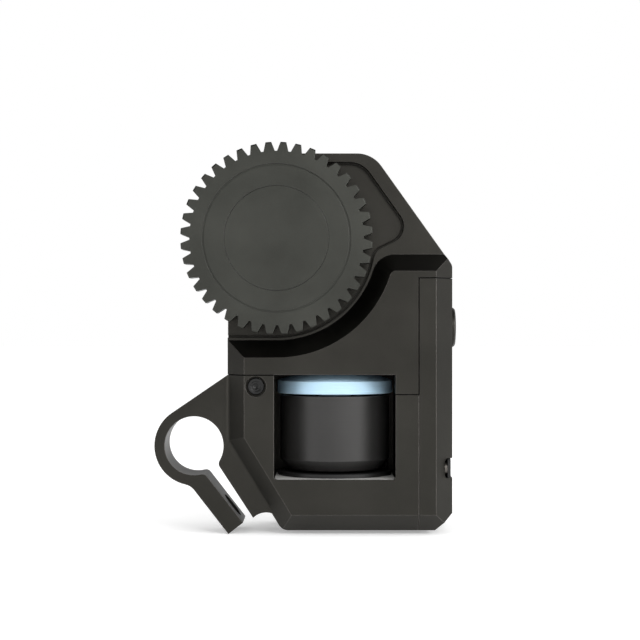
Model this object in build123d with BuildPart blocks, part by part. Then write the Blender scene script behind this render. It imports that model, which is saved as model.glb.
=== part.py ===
from build123d import *
import os
from math import acos, atan2, cos, degrees, hypot, pi, radians, sin, sqrt, tan

os.makedirs("parts", exist_ok=True)

# Lens focus motor on a rod clamp. X is to the right and Z up, seen from the gear side, and the gear looks
# along -Y. The origin is on the rod's axis, halfway along the clamp. Depths are counted from the clamp's
# front plane towards the back, so what stands in front of that plane has a negative depth.

# Rod clamp
rod_radius = 7.5
clamp_wall = 2.6
clamp_length = 15
arm_angle = 52.1
arm_inner = 2.2
arm_thickness = 4.7
arm_reach = 15.6
arm_root_round = 4
web_foot_round = 2
slot_side_angle = 56.7
slot_side = 2.5
slot_side_reach = 16.1
slot_nose_round = 1.6
arm_inner_round = 1.5
screw_bite_radius = 4.74
clamp_screw_reach = 10.8
clamp_screw_hole_radius = 3.5
clamp_screw_tap_radius = 2.1
clamp_screw_tap_depth = 5

# Motor, whose width sets the window and the depth of the body
base_radius = 15
base_band_height = 3.4
base_band_wall = 1.6
base_hub_radius = 9
base_cone_angle = 19
base_web = 2
tube_radius = 4.2
tube_step = 0.5
can_gap = 0.5
can_inset = 0.8
can_wall = 1.2
can_floor = 2
can_chamfer = 2.5
can_chamfer_height = 2.7
can_hub_radius = 3
can_hub_gap = 0.4
can_vent_radius = 1.6
can_vent_place = 8
can_vents = 6
magnet_thickness = 1.4
magnet_count = 14
magnet_share = 0.9
magnet_end_gap = 2.6
stator_air_gap = 0.45
stator_end_gap = 3.6
stator_top_gap = 5.6
stator_ring = 1.9
stator_arm = 1.6
stator_shoe = 0.9
stator_slot = 1.1
stator_arms = 12
coil_over = 1.5
coil_gap = 0.35
coil_clear = 0.06
coil_round = 0.3
motor_shaft_radius = 1.5
shaft_fit = 0.03
ring_bearing_radius = 3
ring_bearing_width = 2.5
seat_fit = 0.01
clip_radius = 2.5
clip_width = 0.6
clip_gap = 0.25
clip_bite = 0.3
encoder_magnet_radius = 2
encoder_magnet_width = 0.95
encoder_board_inset = 0.2
encoder_board_width = 1.1
encoder_chip_side = 3
encoder_chip_width = 0.3
motor_screw_place = 7
motor_screws = 4
lead_notch_width = 4.4
lead_angle = 45
lead_radius = 0.45
lead_pitch = 1.25
lead_bend = 3
lead_clear = 3.4
lead_start = 8.6
lead_drop = 0.75
lead_count = 3

# Window and motor chamber
window_inset = 11.9
window_height = 26.4
window_foot = 8.2
window_left_gap = 0.45
window_right_gap = 0.2
window_round = 0.8
window_skin = 1.7
chamber_side_gap = 0.8
chamber_front_gap = 0.1
chamber_back_gap = 0.2
chamber_floor_gap = 0.1
can_foot_gap = 1.6
base_drop = 5.1
hub_rise = 2.4

# Outline of the body
body_left_wall = 1.05
body_drop = 21.5
left_side_foot = 1.2
left_slant_angle = 58.6
foot_round = 3
foot_chamfer_width = 4.4
foot_chamfer_height = 4.4
tongue_width = 5.8
column_width = 8.82
column_rise = 24.5
gear_axis_inset = 12.65
gear_axis_rise = 34.3
body_top_rise = 21.9
top_edge_length = 36.85
slant_drop = 28.5
top_left_round = 12
top_right_round = 7.6
side_round = 2
wall = 2.2
cut_over = 5

# Raised front
plateau_rise = 5
bevel_run = 4.4
plateau_drop = 3.75
lip_gap = 1.53
lip_corner_round = 1.3

# Round well behind the gear
well_depth = 1.8
well_gap = 0.93
well_top_rim = 2.2
well_slant_rim = 3.35
well_corner_round = 6.4
well_nose_round = 4.6
well_neck_round = 3
well_nose_rise = 1.7
well_neck_drop = 3.1
well_groove_width = 0.65
well_groove_depth = 1.1

# Seam between the two housings
seam_gap = 0.15
parting_depth = 0.4
tongue_drop = 4.9
tongue_depth = 8.5

# Board bays
bay_left_wall = 2.4
bay_right_wall = 2.8
bay_front = 4
bay_nose_front = 2.2
bay_nose_width = 5
bay_foot_wall = 4.2
bay_top_drop = 6.2
column_bay_wall = 1.7
column_cap = 6.2
bottom_bay_inset = 4.3
bottom_bay_roof_wall = 2
bottom_bay_front = 5.5

# Gearbox
gearbox_floor = 2.5
front_wall = 2.5
upper_right_wall = 1.7
bevel_module = 0.6
bevel_pinion_teeth = 14
bevel_gear_teeth = 28
bevel_face = 3
bevel_disc = 0.8
bevel_trim = 0.6
bevel_pinion_hub = 2.5
bevel_hub_radius = 3.4
pinion_floor_gap = 0.9
gear_module = 0.5
first_pinion_teeth = 14
first_pinion_width = 2.6
idler_gear_teeth = 36
idler_pinion_teeth = 18
drive_gear_teeth = 36
addendum_share = 0.9
dedendum_share = 1.2
tooth_slack = 0.09
mesh_gap = 0.03
pressure_angle = 20
layshaft_radius = 1.5
output_shaft_radius = 3
bearing_boss = 1.4
output_bearing_radius = 6
output_bearing_width = 4
output_lip = 0.5
output_lip_radius = 4.9
rear_bearing_radius = 5
drive_gap = 0.9
drive_width = 4
idler_width = 2.2
idler_gap = 0.7
plate_back_gap = 2.9
plate_width = 2.5
plate_margin = 3.2
shaft_end_gap = 0.2
collar_gap = 0.25
collar_rim = 1

# Gear on the front
gear_teeth = 40
gear_phase = -4.125
gear_tip_radius = 24.07
gear_tooth_height = 2.27
gear_tip_width = 1.45
gear_root_gap = 0.57
gear_front = 8
gear_width = 7.6
gear_edge = 0.3
groove_rim = 5.3
groove_width = 0.5
groove_depth = 0.4
cap_radius = 13.1
cap_width = 1.6
cap_fit = 0.05
cap_step = 1.7
cap_spigot_width = 0.6
gear_web = 2.2
gear_back_recess = 3
gear_back_rim = 3.2
flange_radius = 9
flange_width = 2.1
pilot_radius = 4
gear_screw_place = 6.5
gear_screws = 3

# Fasteners
m25_radius = 1.25
m25_clear = 1.4
m25_thread = 1.28
m25_head_radius = 2.15
m25_head_width = 1.4
m25_sink_angle = 90
socket_radius = 0.85
socket_depth = 0.8
front_screw_inset = 7.35
front_screw_drop = 2.9
front_bore_radius = 2.63
front_bore_depth = 1.9
front_screw_length = 7
lug_side = 6
lug_height = 6.2
lug_width = 5.8
lug_front = 6
lug_fit = 0.1
plate_screw_length = 8
cover_screw_length = 9
motor_screw_length = 5.2

# Back cover
cover_width = 2.2
cover_edge = 0.8

# Boards, port and button
board_width = 1.2
board_fit = 0.05
main_board_gap = 0.8
main_board_drop = 2.5
main_board_front = 3
main_board_depth = 21
rib_width = 1.4
rib_depth = 2
rib_seat = 1
rail_width = 2
port_height = -5.6
port_depth = 2.5
port_notch_height = 5
port_notch_width = 9.6
port_notch_round = 0.9
port_floor_width = 1.4
port_shell_height = 3.2
port_shell_width = 8.94
port_shell_length = 7.3
port_shell_wall = 0.3
port_shell_proud = 1.8
port_tongue_width = 6.6
port_tongue_height = 0.7
port_tongue_gap = 0.9
port_board_depth = 14
port_board_front = -0.9
groove_bite = 0.5
driver_board_gap = 2
driver_board_width = 24
driver_board_front = 3
driver_board_depth = 23
driver_board_rise = 3.8
chip_side = 5
chip_width = 1
button_depth = 10
button_drop = 12.6
button_radius = 5.1
button_fit = 0.15
button_proud = 1.35
button_edge = 0.4
button_travel = 0.4
button_flange = 0.6
button_flange_rim = 0.8
button_flange_gap = 0.1
switch_side = 3.6
switch_gap = 0.15
switch_plunger_radius = 1
switch_plunger_width = 0.3

# Places that follow from the sizes above: across the body
clamp_radius = rod_radius + clamp_wall
body_left = rod_radius + body_left_wall
window_left = body_left + window_inset
window_width = 2 * base_radius + window_left_gap + window_right_gap
window_right = window_left + window_width
column_left = window_right + tongue_width
body_right = column_left + column_width
motor_x = window_left + window_left_gap + base_radius
gear_x = body_left + gear_axis_inset
chamber_left = window_left - chamber_side_gap
chamber_right = window_right + chamber_side_gap
bay_left = window_right + bay_left_wall
bay_right = body_right - bay_right_wall
column_bay_left = column_left + column_bay_wall
bottom_bay_left = window_left + bottom_bay_inset
main_board_left = column_bay_left + main_board_gap
driver_board_left = bottom_bay_left + driver_board_gap
front_screw_left = body_left + front_screw_inset
slant_left = body_left + top_edge_length
slant_angle = degrees(atan2(slant_drop, body_right - slant_left))
left_slant_right = body_left + (left_side_foot + body_drop) / tan(radians(left_slant_angle))

# From the front to the back
motor_depth = base_radius + window_skin - plateau_rise - chamber_front_gap
motor_y = motor_depth - clamp_length / 2
chamber_front = window_skin - plateau_rise
body_depth = motor_depth + base_radius + chamber_back_gap
cover_back = body_depth + cover_width
inner_front = well_depth + front_wall
drive_front = well_depth + output_lip + output_bearing_width + drive_gap
plate_front = body_depth - plate_back_gap - plate_width
idler_front = plate_front - idler_gap - idler_width
shaft_back = plate_front + plate_width - shaft_end_gap
bevel_angle = degrees(atan2(bevel_run, plateau_rise))
gear_back = gear_width - gear_front
flange_front = gear_back - flange_width
web_front = flange_front - gear_web

# Up the body
seam_height = window_height - window_foot
tongue_foot = seam_height - tongue_drop
front_screw_height = seam_height - front_screw_drop
base_band_foot = seam_height - base_drop
base_under = base_band_foot + base_band_height - base_web
base_hub_top = seam_height + hub_rise
gearbox_floor_top = base_hub_top + gearbox_floor
chamber_floor = -window_foot - chamber_floor_gap
can_foot = can_foot_gap - window_foot
can_top = base_band_foot - can_gap
can_hub_top = can_foot + can_floor + can_floor / 2 + shaft_end_gap
tube_foot = can_hub_top + can_hub_gap
magnet_foot = can_foot + can_floor + magnet_end_gap
magnet_height = can_top - magnet_foot - magnet_end_gap - magnet_thickness
stator_foot = can_foot + can_floor + stator_end_gap
stator_height = can_top - stator_top_gap - stator_foot
lead_height = base_under - lead_drop
bottom_bay_roof = bottom_bay_roof_wall - chamber_floor
bottom_bay_floor = body_drop - wall
bay_foot = body_drop - bay_foot_wall
bay_top = seam_height - bay_top_drop
driver_board_height = driver_board_rise - bottom_bay_floor
gear_z = seam_height + gear_axis_rise
body_top = gear_z + body_top_rise
right_side_top = body_top - slant_drop
plateau_top = gear_z - plateau_drop
column_top = seam_height + column_rise
column_bay_top = column_top - column_cap
main_board_top = column_bay_top - rib_seat
main_board_foot = -main_board_drop
main_board_height = main_board_top - main_board_foot
button_height = column_top - button_drop
well_nose_foot = gear_z + well_nose_rise
well_neck_foot = gear_z - well_neck_drop
port_board_foot = port_height - port_shell_height / 2 - board_width
port_board_right = bay_right - port_floor_width + groove_bite

# Round parts
can_radius = base_radius - can_inset
can_inner = can_radius - can_wall
stator_radius = can_inner - magnet_thickness - stator_air_gap
encoder_board_radius = base_radius - encoder_board_inset
lead_place = base_radius + lead_clear
gear_root_radius = gear_tip_radius - gear_tooth_height
gear_root_width = 2 * pi * gear_root_radius / gear_teeth - gear_root_gap
well_radius = gear_tip_radius + well_gap
lip_radius = gear_tip_radius + lip_gap
groove_radius = cap_radius + groove_rim
cap_spigot_radius = cap_radius - cap_step
button_flange_radius = button_radius + button_flange_rim
layshaft_boss = ring_bearing_radius + bearing_boss
output_boss = output_bearing_radius + bearing_boss
bevel_pinion_radius = bevel_module * bevel_pinion_teeth / 2
bevel_gear_radius = bevel_module * bevel_gear_teeth / 2
bevel_outer = bevel_gear_radius + bevel_trim
bevel_z = gearbox_floor_top + pinion_floor_gap + bevel_pinion_hub + bevel_outer
first_pinion_radius = gear_module * first_pinion_teeth / 2
idler_gear_radius = gear_module * idler_gear_teeth / 2
idler_pinion_radius = gear_module * idler_pinion_teeth / 2
drive_gear_radius = gear_module * drive_gear_teeth / 2


def facing(depth):
    """Plane that looks to the front at a depth, with X to the right and Z up."""
    return Plane.XZ.offset(clamp_length / 2 - depth)


def motor_level(height):
    """Plane that looks up at a height, with its origin on the motor's axis."""
    return Plane(origin=(motor_x, motor_y, height), x_dir=(1, 0, 0), z_dir=(0, 0, 1))


def along(angle, run, side=0):
    """Point reached from the rod's axis along a line that drops at an angle, then to its lower left side."""
    turn = radians(angle)
    return (run * cos(turn) - side * sin(turn), -run * sin(turn) - side * cos(turn))


def idler_centre():
    """Place of the idler shaft, in mesh with the first pinion and with the drive gear."""
    to_output = idler_pinion_radius + drive_gear_radius + mesh_gap
    to_first = first_pinion_radius + idler_gear_radius + mesh_gap
    run, drop = motor_x - gear_x, gear_z - bevel_z
    span = hypot(run, drop)
    foot = (to_output**2 - to_first**2 + span**2) / (2 * span)
    rise = sqrt(to_output**2 - foot**2)
    return (gear_x + (foot * run + rise * drop) / span, gear_z - (foot * drop - rise * run) / span)


idler_x, idler_z = idler_centre()


def finish(piece, name):
    """Labels a finished piece and writes its file."""
    piece.part.label = name
    export_step(piece.part, f"parts/{name}.step")


def involute(angle):
    """Involute function of an angle in radians."""
    return tan(angle) - angle


def half_tooth(radius, pitch_radius, module):
    """Angle in radians that half a tooth takes at a radius, for a spur gear with a little slack."""
    press = radians(pressure_angle)
    at_radius = acos(min(1, pitch_radius * cos(press) / radius))
    return (pi * module / 2 - tooth_slack) / 2 / pitch_radius + involute(press) - involute(at_radius)


def toothed_line(teeth, flank, phase):
    """Face with teeth all round, from the radius and half angle of the flank's points, root first."""
    pitch = 360 / teeth
    root_radius, root_half = flank[0]
    tip_radius, tip_half = flank[-1]
    with BuildSketch() as face:
        with BuildLine():
            for tooth in range(teeth):
                middle = phase + pitch * tooth
                rise = [(r * cos(radians(middle - h)), r * sin(radians(middle - h))) for r, h in flank]
                fall = [(r * cos(radians(middle + h)), r * sin(radians(middle + h))) for r, h in flank]
                Polyline(*rise)
                CenterArc((0, 0), tip_radius, middle - tip_half, 2 * tip_half)
                Polyline(*reversed(fall))
                CenterArc((0, 0), root_radius, middle + root_half, pitch - 2 * root_half)
        make_face()
    return face.sketch


def spur_gear(teeth, phase):
    """Face of an inner spur gear about its own centre, with one tooth at the phase angle."""
    pitch_radius = gear_module * teeth / 2
    base_radius = pitch_radius * cos(radians(pressure_angle))
    root_radius = pitch_radius - dedendum_share * gear_module
    tip_radius = pitch_radius + addendum_share * gear_module
    radii = [root_radius, max(base_radius, root_radius + mesh_gap), pitch_radius,
             (pitch_radius + tip_radius) / 2, tip_radius]
    flank = [(r, degrees(half_tooth(r, pitch_radius, gear_module))) for r in radii]
    return toothed_line(teeth, flank, phase)


def bevel_section(teeth, mate_teeth, distance, phase):
    """Section of a bevel gear square to its axis, at a distance from the point where both axes cross."""
    pitch_radius = bevel_module * teeth / 2
    reach = bevel_module * mate_teeth / 2
    slant = hypot(pitch_radius, reach)
    back_radius = pitch_radius * slant / reach
    base_radius = back_radius * cos(radians(pressure_angle))
    root = -dedendum_share * bevel_module
    tip = addendum_share * bevel_module
    flank = []
    for rise in (root, max(base_radius - back_radius, root + mesh_gap), 0, tip / 2, tip):
        arc = (back_radius + rise) * half_tooth(back_radius + rise, back_radius, bevel_module)
        radius = pitch_radius + rise * reach / slant
        place = reach - rise * pitch_radius / slant
        flank.append((radius * distance / place, degrees(arc / radius)))
    return toothed_line(teeth, flank, phase)


# Outline of the body, seen from the front
with BuildSketch() as body_face:
    with BuildLine():
        Polyline(
            (body_left, left_side_foot),
            (body_left, body_top),
            (slant_left, body_top),
            (body_right, right_side_top),
            (body_right, foot_chamfer_height - body_drop),
            (body_right - foot_chamfer_width, -body_drop),
            (left_slant_right, -body_drop),
            close=True,
        )
    make_face()
    corners = body_face.vertices()
    fillet(corners.sort_by_distance((body_left, body_top))[0], top_left_round)
    fillet(body_face.vertices().sort_by_distance((slant_left, body_top))[0], top_right_round)
    fillet(body_face.vertices().sort_by_distance((body_right, right_side_top))[0], side_round)
    fillet(body_face.vertices().sort_by_distance((left_slant_right, -body_drop))[0], foot_round)

# Foot of the raised front, with the round lip under the gear
lip_foot = gear_z - lip_radius
lip_side = gear_x + sqrt(lip_radius**2 - (gear_z - plateau_top) ** 2)
lip_middle = radians(-45)
with BuildSketch() as plateau_face:
    with BuildLine():
        Polyline(
            (lip_side, plateau_top),
            (body_right, plateau_top),
            (body_right, -body_drop),
            (left_slant_right, -body_drop),
            (body_left, left_side_foot),
            (body_left, lip_foot),
            (gear_x, lip_foot),
        )
        ThreePointArc(
            (gear_x, lip_foot),
            (gear_x + lip_radius * cos(lip_middle), gear_z + lip_radius * sin(lip_middle)),
            (lip_side, plateau_top),
        )
    make_face()
    lip_corner = plateau_face.vertices().sort_by_distance((lip_side, plateau_top))[0]
    fillet(lip_corner, bevel_run + lip_corner_round)

# Round well behind the gear, open to the left
slant_turn = radians(slant_angle)
rim_right = slant_left - well_slant_rim / sin(slant_turn)
well_top = body_top - well_top_rim


def well_slant_x(height):
    """Right edge of the well's slanted side at a height."""
    return rim_right + (body_top - height) / tan(slant_turn)


well_neck_x = gear_x + sqrt(well_radius**2 - (gear_z - well_neck_foot) ** 2)
with BuildSketch() as well_face:
    with BuildLine():
        Polyline(
            (body_left - cut_over, gear_z - well_radius),
            (body_left - cut_over, well_top),
            (well_slant_x(well_top), well_top),
            (well_slant_x(well_nose_foot), well_nose_foot),
            (well_neck_x, well_neck_foot),
        )
        ThreePointArc(
            (well_neck_x, well_neck_foot),
            (gear_x + well_radius * cos(lip_middle), gear_z + well_radius * sin(lip_middle)),
            (gear_x, gear_z - well_radius),
        )
        Line((gear_x, gear_z - well_radius), (body_left - cut_over, gear_z - well_radius))
    make_face()
    fillet(well_face.vertices().sort_by_distance((well_slant_x(well_top), well_top))[0], well_corner_round)
    nose = (well_slant_x(well_nose_foot), well_nose_foot)
    fillet(well_face.vertices().sort_by_distance(nose)[0], well_nose_round)
    fillet(well_face.vertices().sort_by_distance((well_neck_x, well_neck_foot))[0], well_neck_round)


def upper_region(gap, tongue):
    """The part of the front view that belongs to the upper housing, grown by a gap, with or without its tongue."""
    reach = 2 * body_top
    with BuildSketch() as region:
        with Locations((-reach, seam_height - gap)):
            Rectangle(column_left + reach + gap, reach, align=(Align.MIN, Align.MIN))
        with Locations((gear_x, column_top - gap)):
            Rectangle(reach, reach, align=(Align.MIN, Align.MIN))
        if tongue:
            with Locations((window_right - gap, seam_height)):
                Rectangle(column_left - window_right + 2 * gap, seam_height - tongue_foot + gap,
                          align=(Align.MIN, Align.MAX))
    return region.sketch


# Block that both housings are cut from: the body with its raised front and the bevel around it
with BuildPart() as block:
    with BuildSketch(facing(body_depth)):
        add(body_face.sketch)
    extrude(amount=body_depth)
    with BuildSketch(facing(0)):
        add(plateau_face.sketch)
    extrude(amount=plateau_rise, taper=bevel_angle)
    with BuildSketch(facing(body_depth)):
        add(body_face.sketch)
    extrude(amount=body_depth + plateau_rise, mode=Mode.INTERSECT)

# Places of the screws, as seen from the front
plate_posts = [
    (gear_x, gear_z + drive_gear_radius + 3 * m25_head_radius),
    (motor_x + bevel_outer + 2 * m25_head_radius, gear_z),
    (gear_x - drive_gear_radius / 2 - m25_clear, bevel_z - m25_head_radius),
]
upper_cover_posts = [
    (body_left + wall + 2 * m25_clear, body_top - wall - 3 * m25_head_radius),
    (slant_left - wall, body_top - wall - 2 * m25_head_radius),
    (column_left + wall, column_top + wall + 2 * m25_head_radius),
    (body_left + wall + m25_clear, gearbox_floor_top + m25_clear),
]
lower_cover_holes = [
    (body_left + (chamber_left - body_left) / 2, left_side_foot + m25_head_radius),
    (bottom_bay_left - 3 * m25_thread, -body_drop + wall + 3 * m25_head_radius),
    (bay_right - m25_head_radius, m25_head_radius + m25_clear - bay_foot),
    (column_bay_left + m25_head_radius, column_top - column_cap / 2),
]
motor_screw_places = [
    (motor_screw_place * cos(radians(45 + 360 * k / motor_screws)),
     motor_screw_place * sin(radians(45 + 360 * k / motor_screws)))
    for k in range(motor_screws)
]
shafts = [(gear_x, gear_z), (motor_x, bevel_z), (idler_x, idler_z)]

# Upper housing: front wall with the well, side walls, and the gearbox floor that the motor hangs from
with BuildSketch() as upper_inside:
    add(body_face.sketch)
    offset(amount=-wall, mode=Mode.REPLACE)
    with BuildSketch(mode=Mode.INTERSECT):
        with BuildLine():
            Polyline(
                (body_left, gearbox_floor_top),
                (column_left - upper_right_wall, gearbox_floor_top),
                (column_left - upper_right_wall, column_top + upper_right_wall),
                (body_right, column_top + upper_right_wall),
                (body_right, body_top),
                (body_left, body_top),
                close=True,
            )
        make_face()

with BuildPart() as upper_housing:
    add(block.part)
    with BuildSketch(facing(body_depth)):
        add(upper_region(0, False))
    extrude(amount=body_depth + plateau_rise, mode=Mode.INTERSECT)
    # tongue beside the window, cut from the raised front
    with BuildSketch(facing(tongue_depth - plateau_rise)):
        with Locations(((window_right + column_left) / 2, (tongue_foot + seam_height) / 2)):
            Rectangle(column_left - window_right, seam_height - tongue_foot)
    extrude(amount=tongue_depth)
    with BuildSketch(facing(0)):
        add(well_face.sketch)
    extrude(amount=-well_depth, mode=Mode.SUBTRACT)
    # groove in the well's floor, along its wall
    with BuildSketch(facing(well_depth)):
        add(well_face.sketch)
        offset(well_face.sketch, amount=-well_groove_width, mode=Mode.SUBTRACT)
    extrude(amount=-well_groove_depth, mode=Mode.SUBTRACT)
    with BuildSketch(facing(body_depth)):
        add(upper_inside.sketch)
    extrude(amount=body_depth - inner_front, mode=Mode.SUBTRACT)
    # bosses for the front bearings, and posts for the gearbox plate and the back cover
    with BuildSketch(facing(inner_front + ring_bearing_width)):
        with Locations(*shafts[1:]):
            Circle(layshaft_boss)
    extrude(amount=ring_bearing_width)
    with BuildSketch(facing(well_depth + output_lip + output_bearing_width)):
        with Locations(shafts[0]):
            Circle(output_boss)
    extrude(amount=output_bearing_width)
    with BuildSketch(facing(plate_front)):
        with Locations(*plate_posts):
            Circle(m25_head_radius)
    extrude(amount=plate_front - inner_front)
    with BuildSketch(facing(body_depth)):
        with Locations(*upper_cover_posts):
            Circle(m25_head_radius)
    extrude(amount=body_depth - inner_front)
    # bearing seats
    with BuildSketch(facing(inner_front + ring_bearing_width)):
        with Locations(*shafts[1:]):
            Circle(ring_bearing_radius)
    extrude(amount=ring_bearing_width, mode=Mode.SUBTRACT)
    with BuildSketch(facing(well_depth + output_lip + output_bearing_width)):
        with Locations(shafts[0]):
            Circle(output_bearing_radius)
    extrude(amount=output_bearing_width, mode=Mode.SUBTRACT)
    with BuildSketch(facing(inner_front)):
        with Locations(shafts[0]):
            Circle(output_lip_radius)
    extrude(amount=inner_front, mode=Mode.SUBTRACT)
    # tapped holes in the posts
    with BuildSketch(facing(plate_front)):
        with Locations(*plate_posts):
            Circle(m25_thread)
    extrude(amount=plate_screw_length, mode=Mode.SUBTRACT)
    with BuildSketch(facing(body_depth)):
        with Locations(*upper_cover_posts):
            Circle(m25_thread)
    extrude(amount=cover_screw_length, mode=Mode.SUBTRACT)
    # seat of the stator base under the gearbox floor, hole for the pinion and holes for the motor screws
    with BuildSketch(motor_level(base_hub_top)):
        Circle(base_hub_radius + bevel_run)
    extrude(amount=seam_height - base_hub_top, mode=Mode.SUBTRACT)
    with BuildSketch(motor_level(base_hub_top)):
        Circle(clip_radius + clip_width)
        with Locations(*motor_screw_places):
            Circle(m25_clear)
    extrude(amount=gearbox_floor, mode=Mode.SUBTRACT)
    # lug behind the lower housing's front, for the front screw
    with BuildSketch(facing(lug_front - plateau_rise + lug_width)):
        with Locations((front_screw_left, seam_height)):
            Rectangle(lug_side, lug_height, align=(Align.CENTER, Align.MAX))
    extrude(amount=lug_width)
    with BuildSketch(facing(lug_front - plateau_rise + lug_width)):
        with Locations((front_screw_left, front_screw_height)):
            Circle(m25_thread)
    extrude(amount=lug_width, mode=Mode.SUBTRACT)
finish(upper_housing, "upper_housing")

# Outline of the rod clamp: ring, web to the body, slot, arm and the bite under the slot
tangent_span = hypot(body_left, seam_height)
tangent_angle = degrees(atan2(seam_height, body_left)) + degrees(acos(clamp_radius / tangent_span))
tangent_point = (clamp_radius * cos(radians(tangent_angle)), clamp_radius * sin(radians(tangent_angle)))
slot_end = along(slot_side_angle, rod_radius + slot_side_reach, -slot_side)
bite_shift = screw_bite_radius * sin(radians(45))
nose_run = sqrt(rod_radius**2 - slot_side**2)
inner_run = sqrt(rod_radius**2 - arm_inner**2)
outer_run = sqrt(clamp_radius**2 - (arm_inner + arm_thickness) ** 2)
with BuildSketch() as clamp_face:
    Circle(clamp_radius)
    with Locations(Location((0, 0, 0), (0, 0, -arm_angle))):
        with Locations((0, -arm_inner)):
            Rectangle(rod_radius + arm_reach, arm_thickness, align=(Align.MIN, Align.MAX))
    with BuildSketch():
        with BuildLine():
            Polyline(
                (0, 0),
                tangent_point,
                (body_left, seam_height - seam_gap),
                (left_slant_right, seam_height - seam_gap),
                (left_slant_right, slot_end[1]),
                slot_end,
                along(slot_side_angle, nose_run, -slot_side),
                close=True,
            )
        make_face()
    Circle(rod_radius, mode=Mode.SUBTRACT)
    with Locations((slot_end[0] + bite_shift, slot_end[1] - bite_shift)):
        Circle(screw_bite_radius, mode=Mode.SUBTRACT)
    with BuildSketch(mode=Mode.SUBTRACT):
        with BuildLine():
            Polyline(
                along(arm_angle, 0, arm_inner),
                along(arm_angle, 2 * (rod_radius + arm_reach), arm_inner),
                along(slot_side_angle, 2 * (rod_radius + arm_reach), -slot_side),
                along(slot_side_angle, 0, -slot_side),
                close=True,
            )
        make_face()
    nose = along(slot_side_angle, nose_run, -slot_side)
    fillet(clamp_face.vertices().sort_by_distance(nose)[0], slot_nose_round)
    inner_corner = along(arm_angle, inner_run, arm_inner)
    fillet(clamp_face.vertices().sort_by_distance(inner_corner)[0], arm_inner_round)
    outer_corner = along(arm_angle, outer_run, arm_inner + arm_thickness)
    fillet(clamp_face.vertices().sort_by_distance(outer_corner)[0], arm_root_round)

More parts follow.
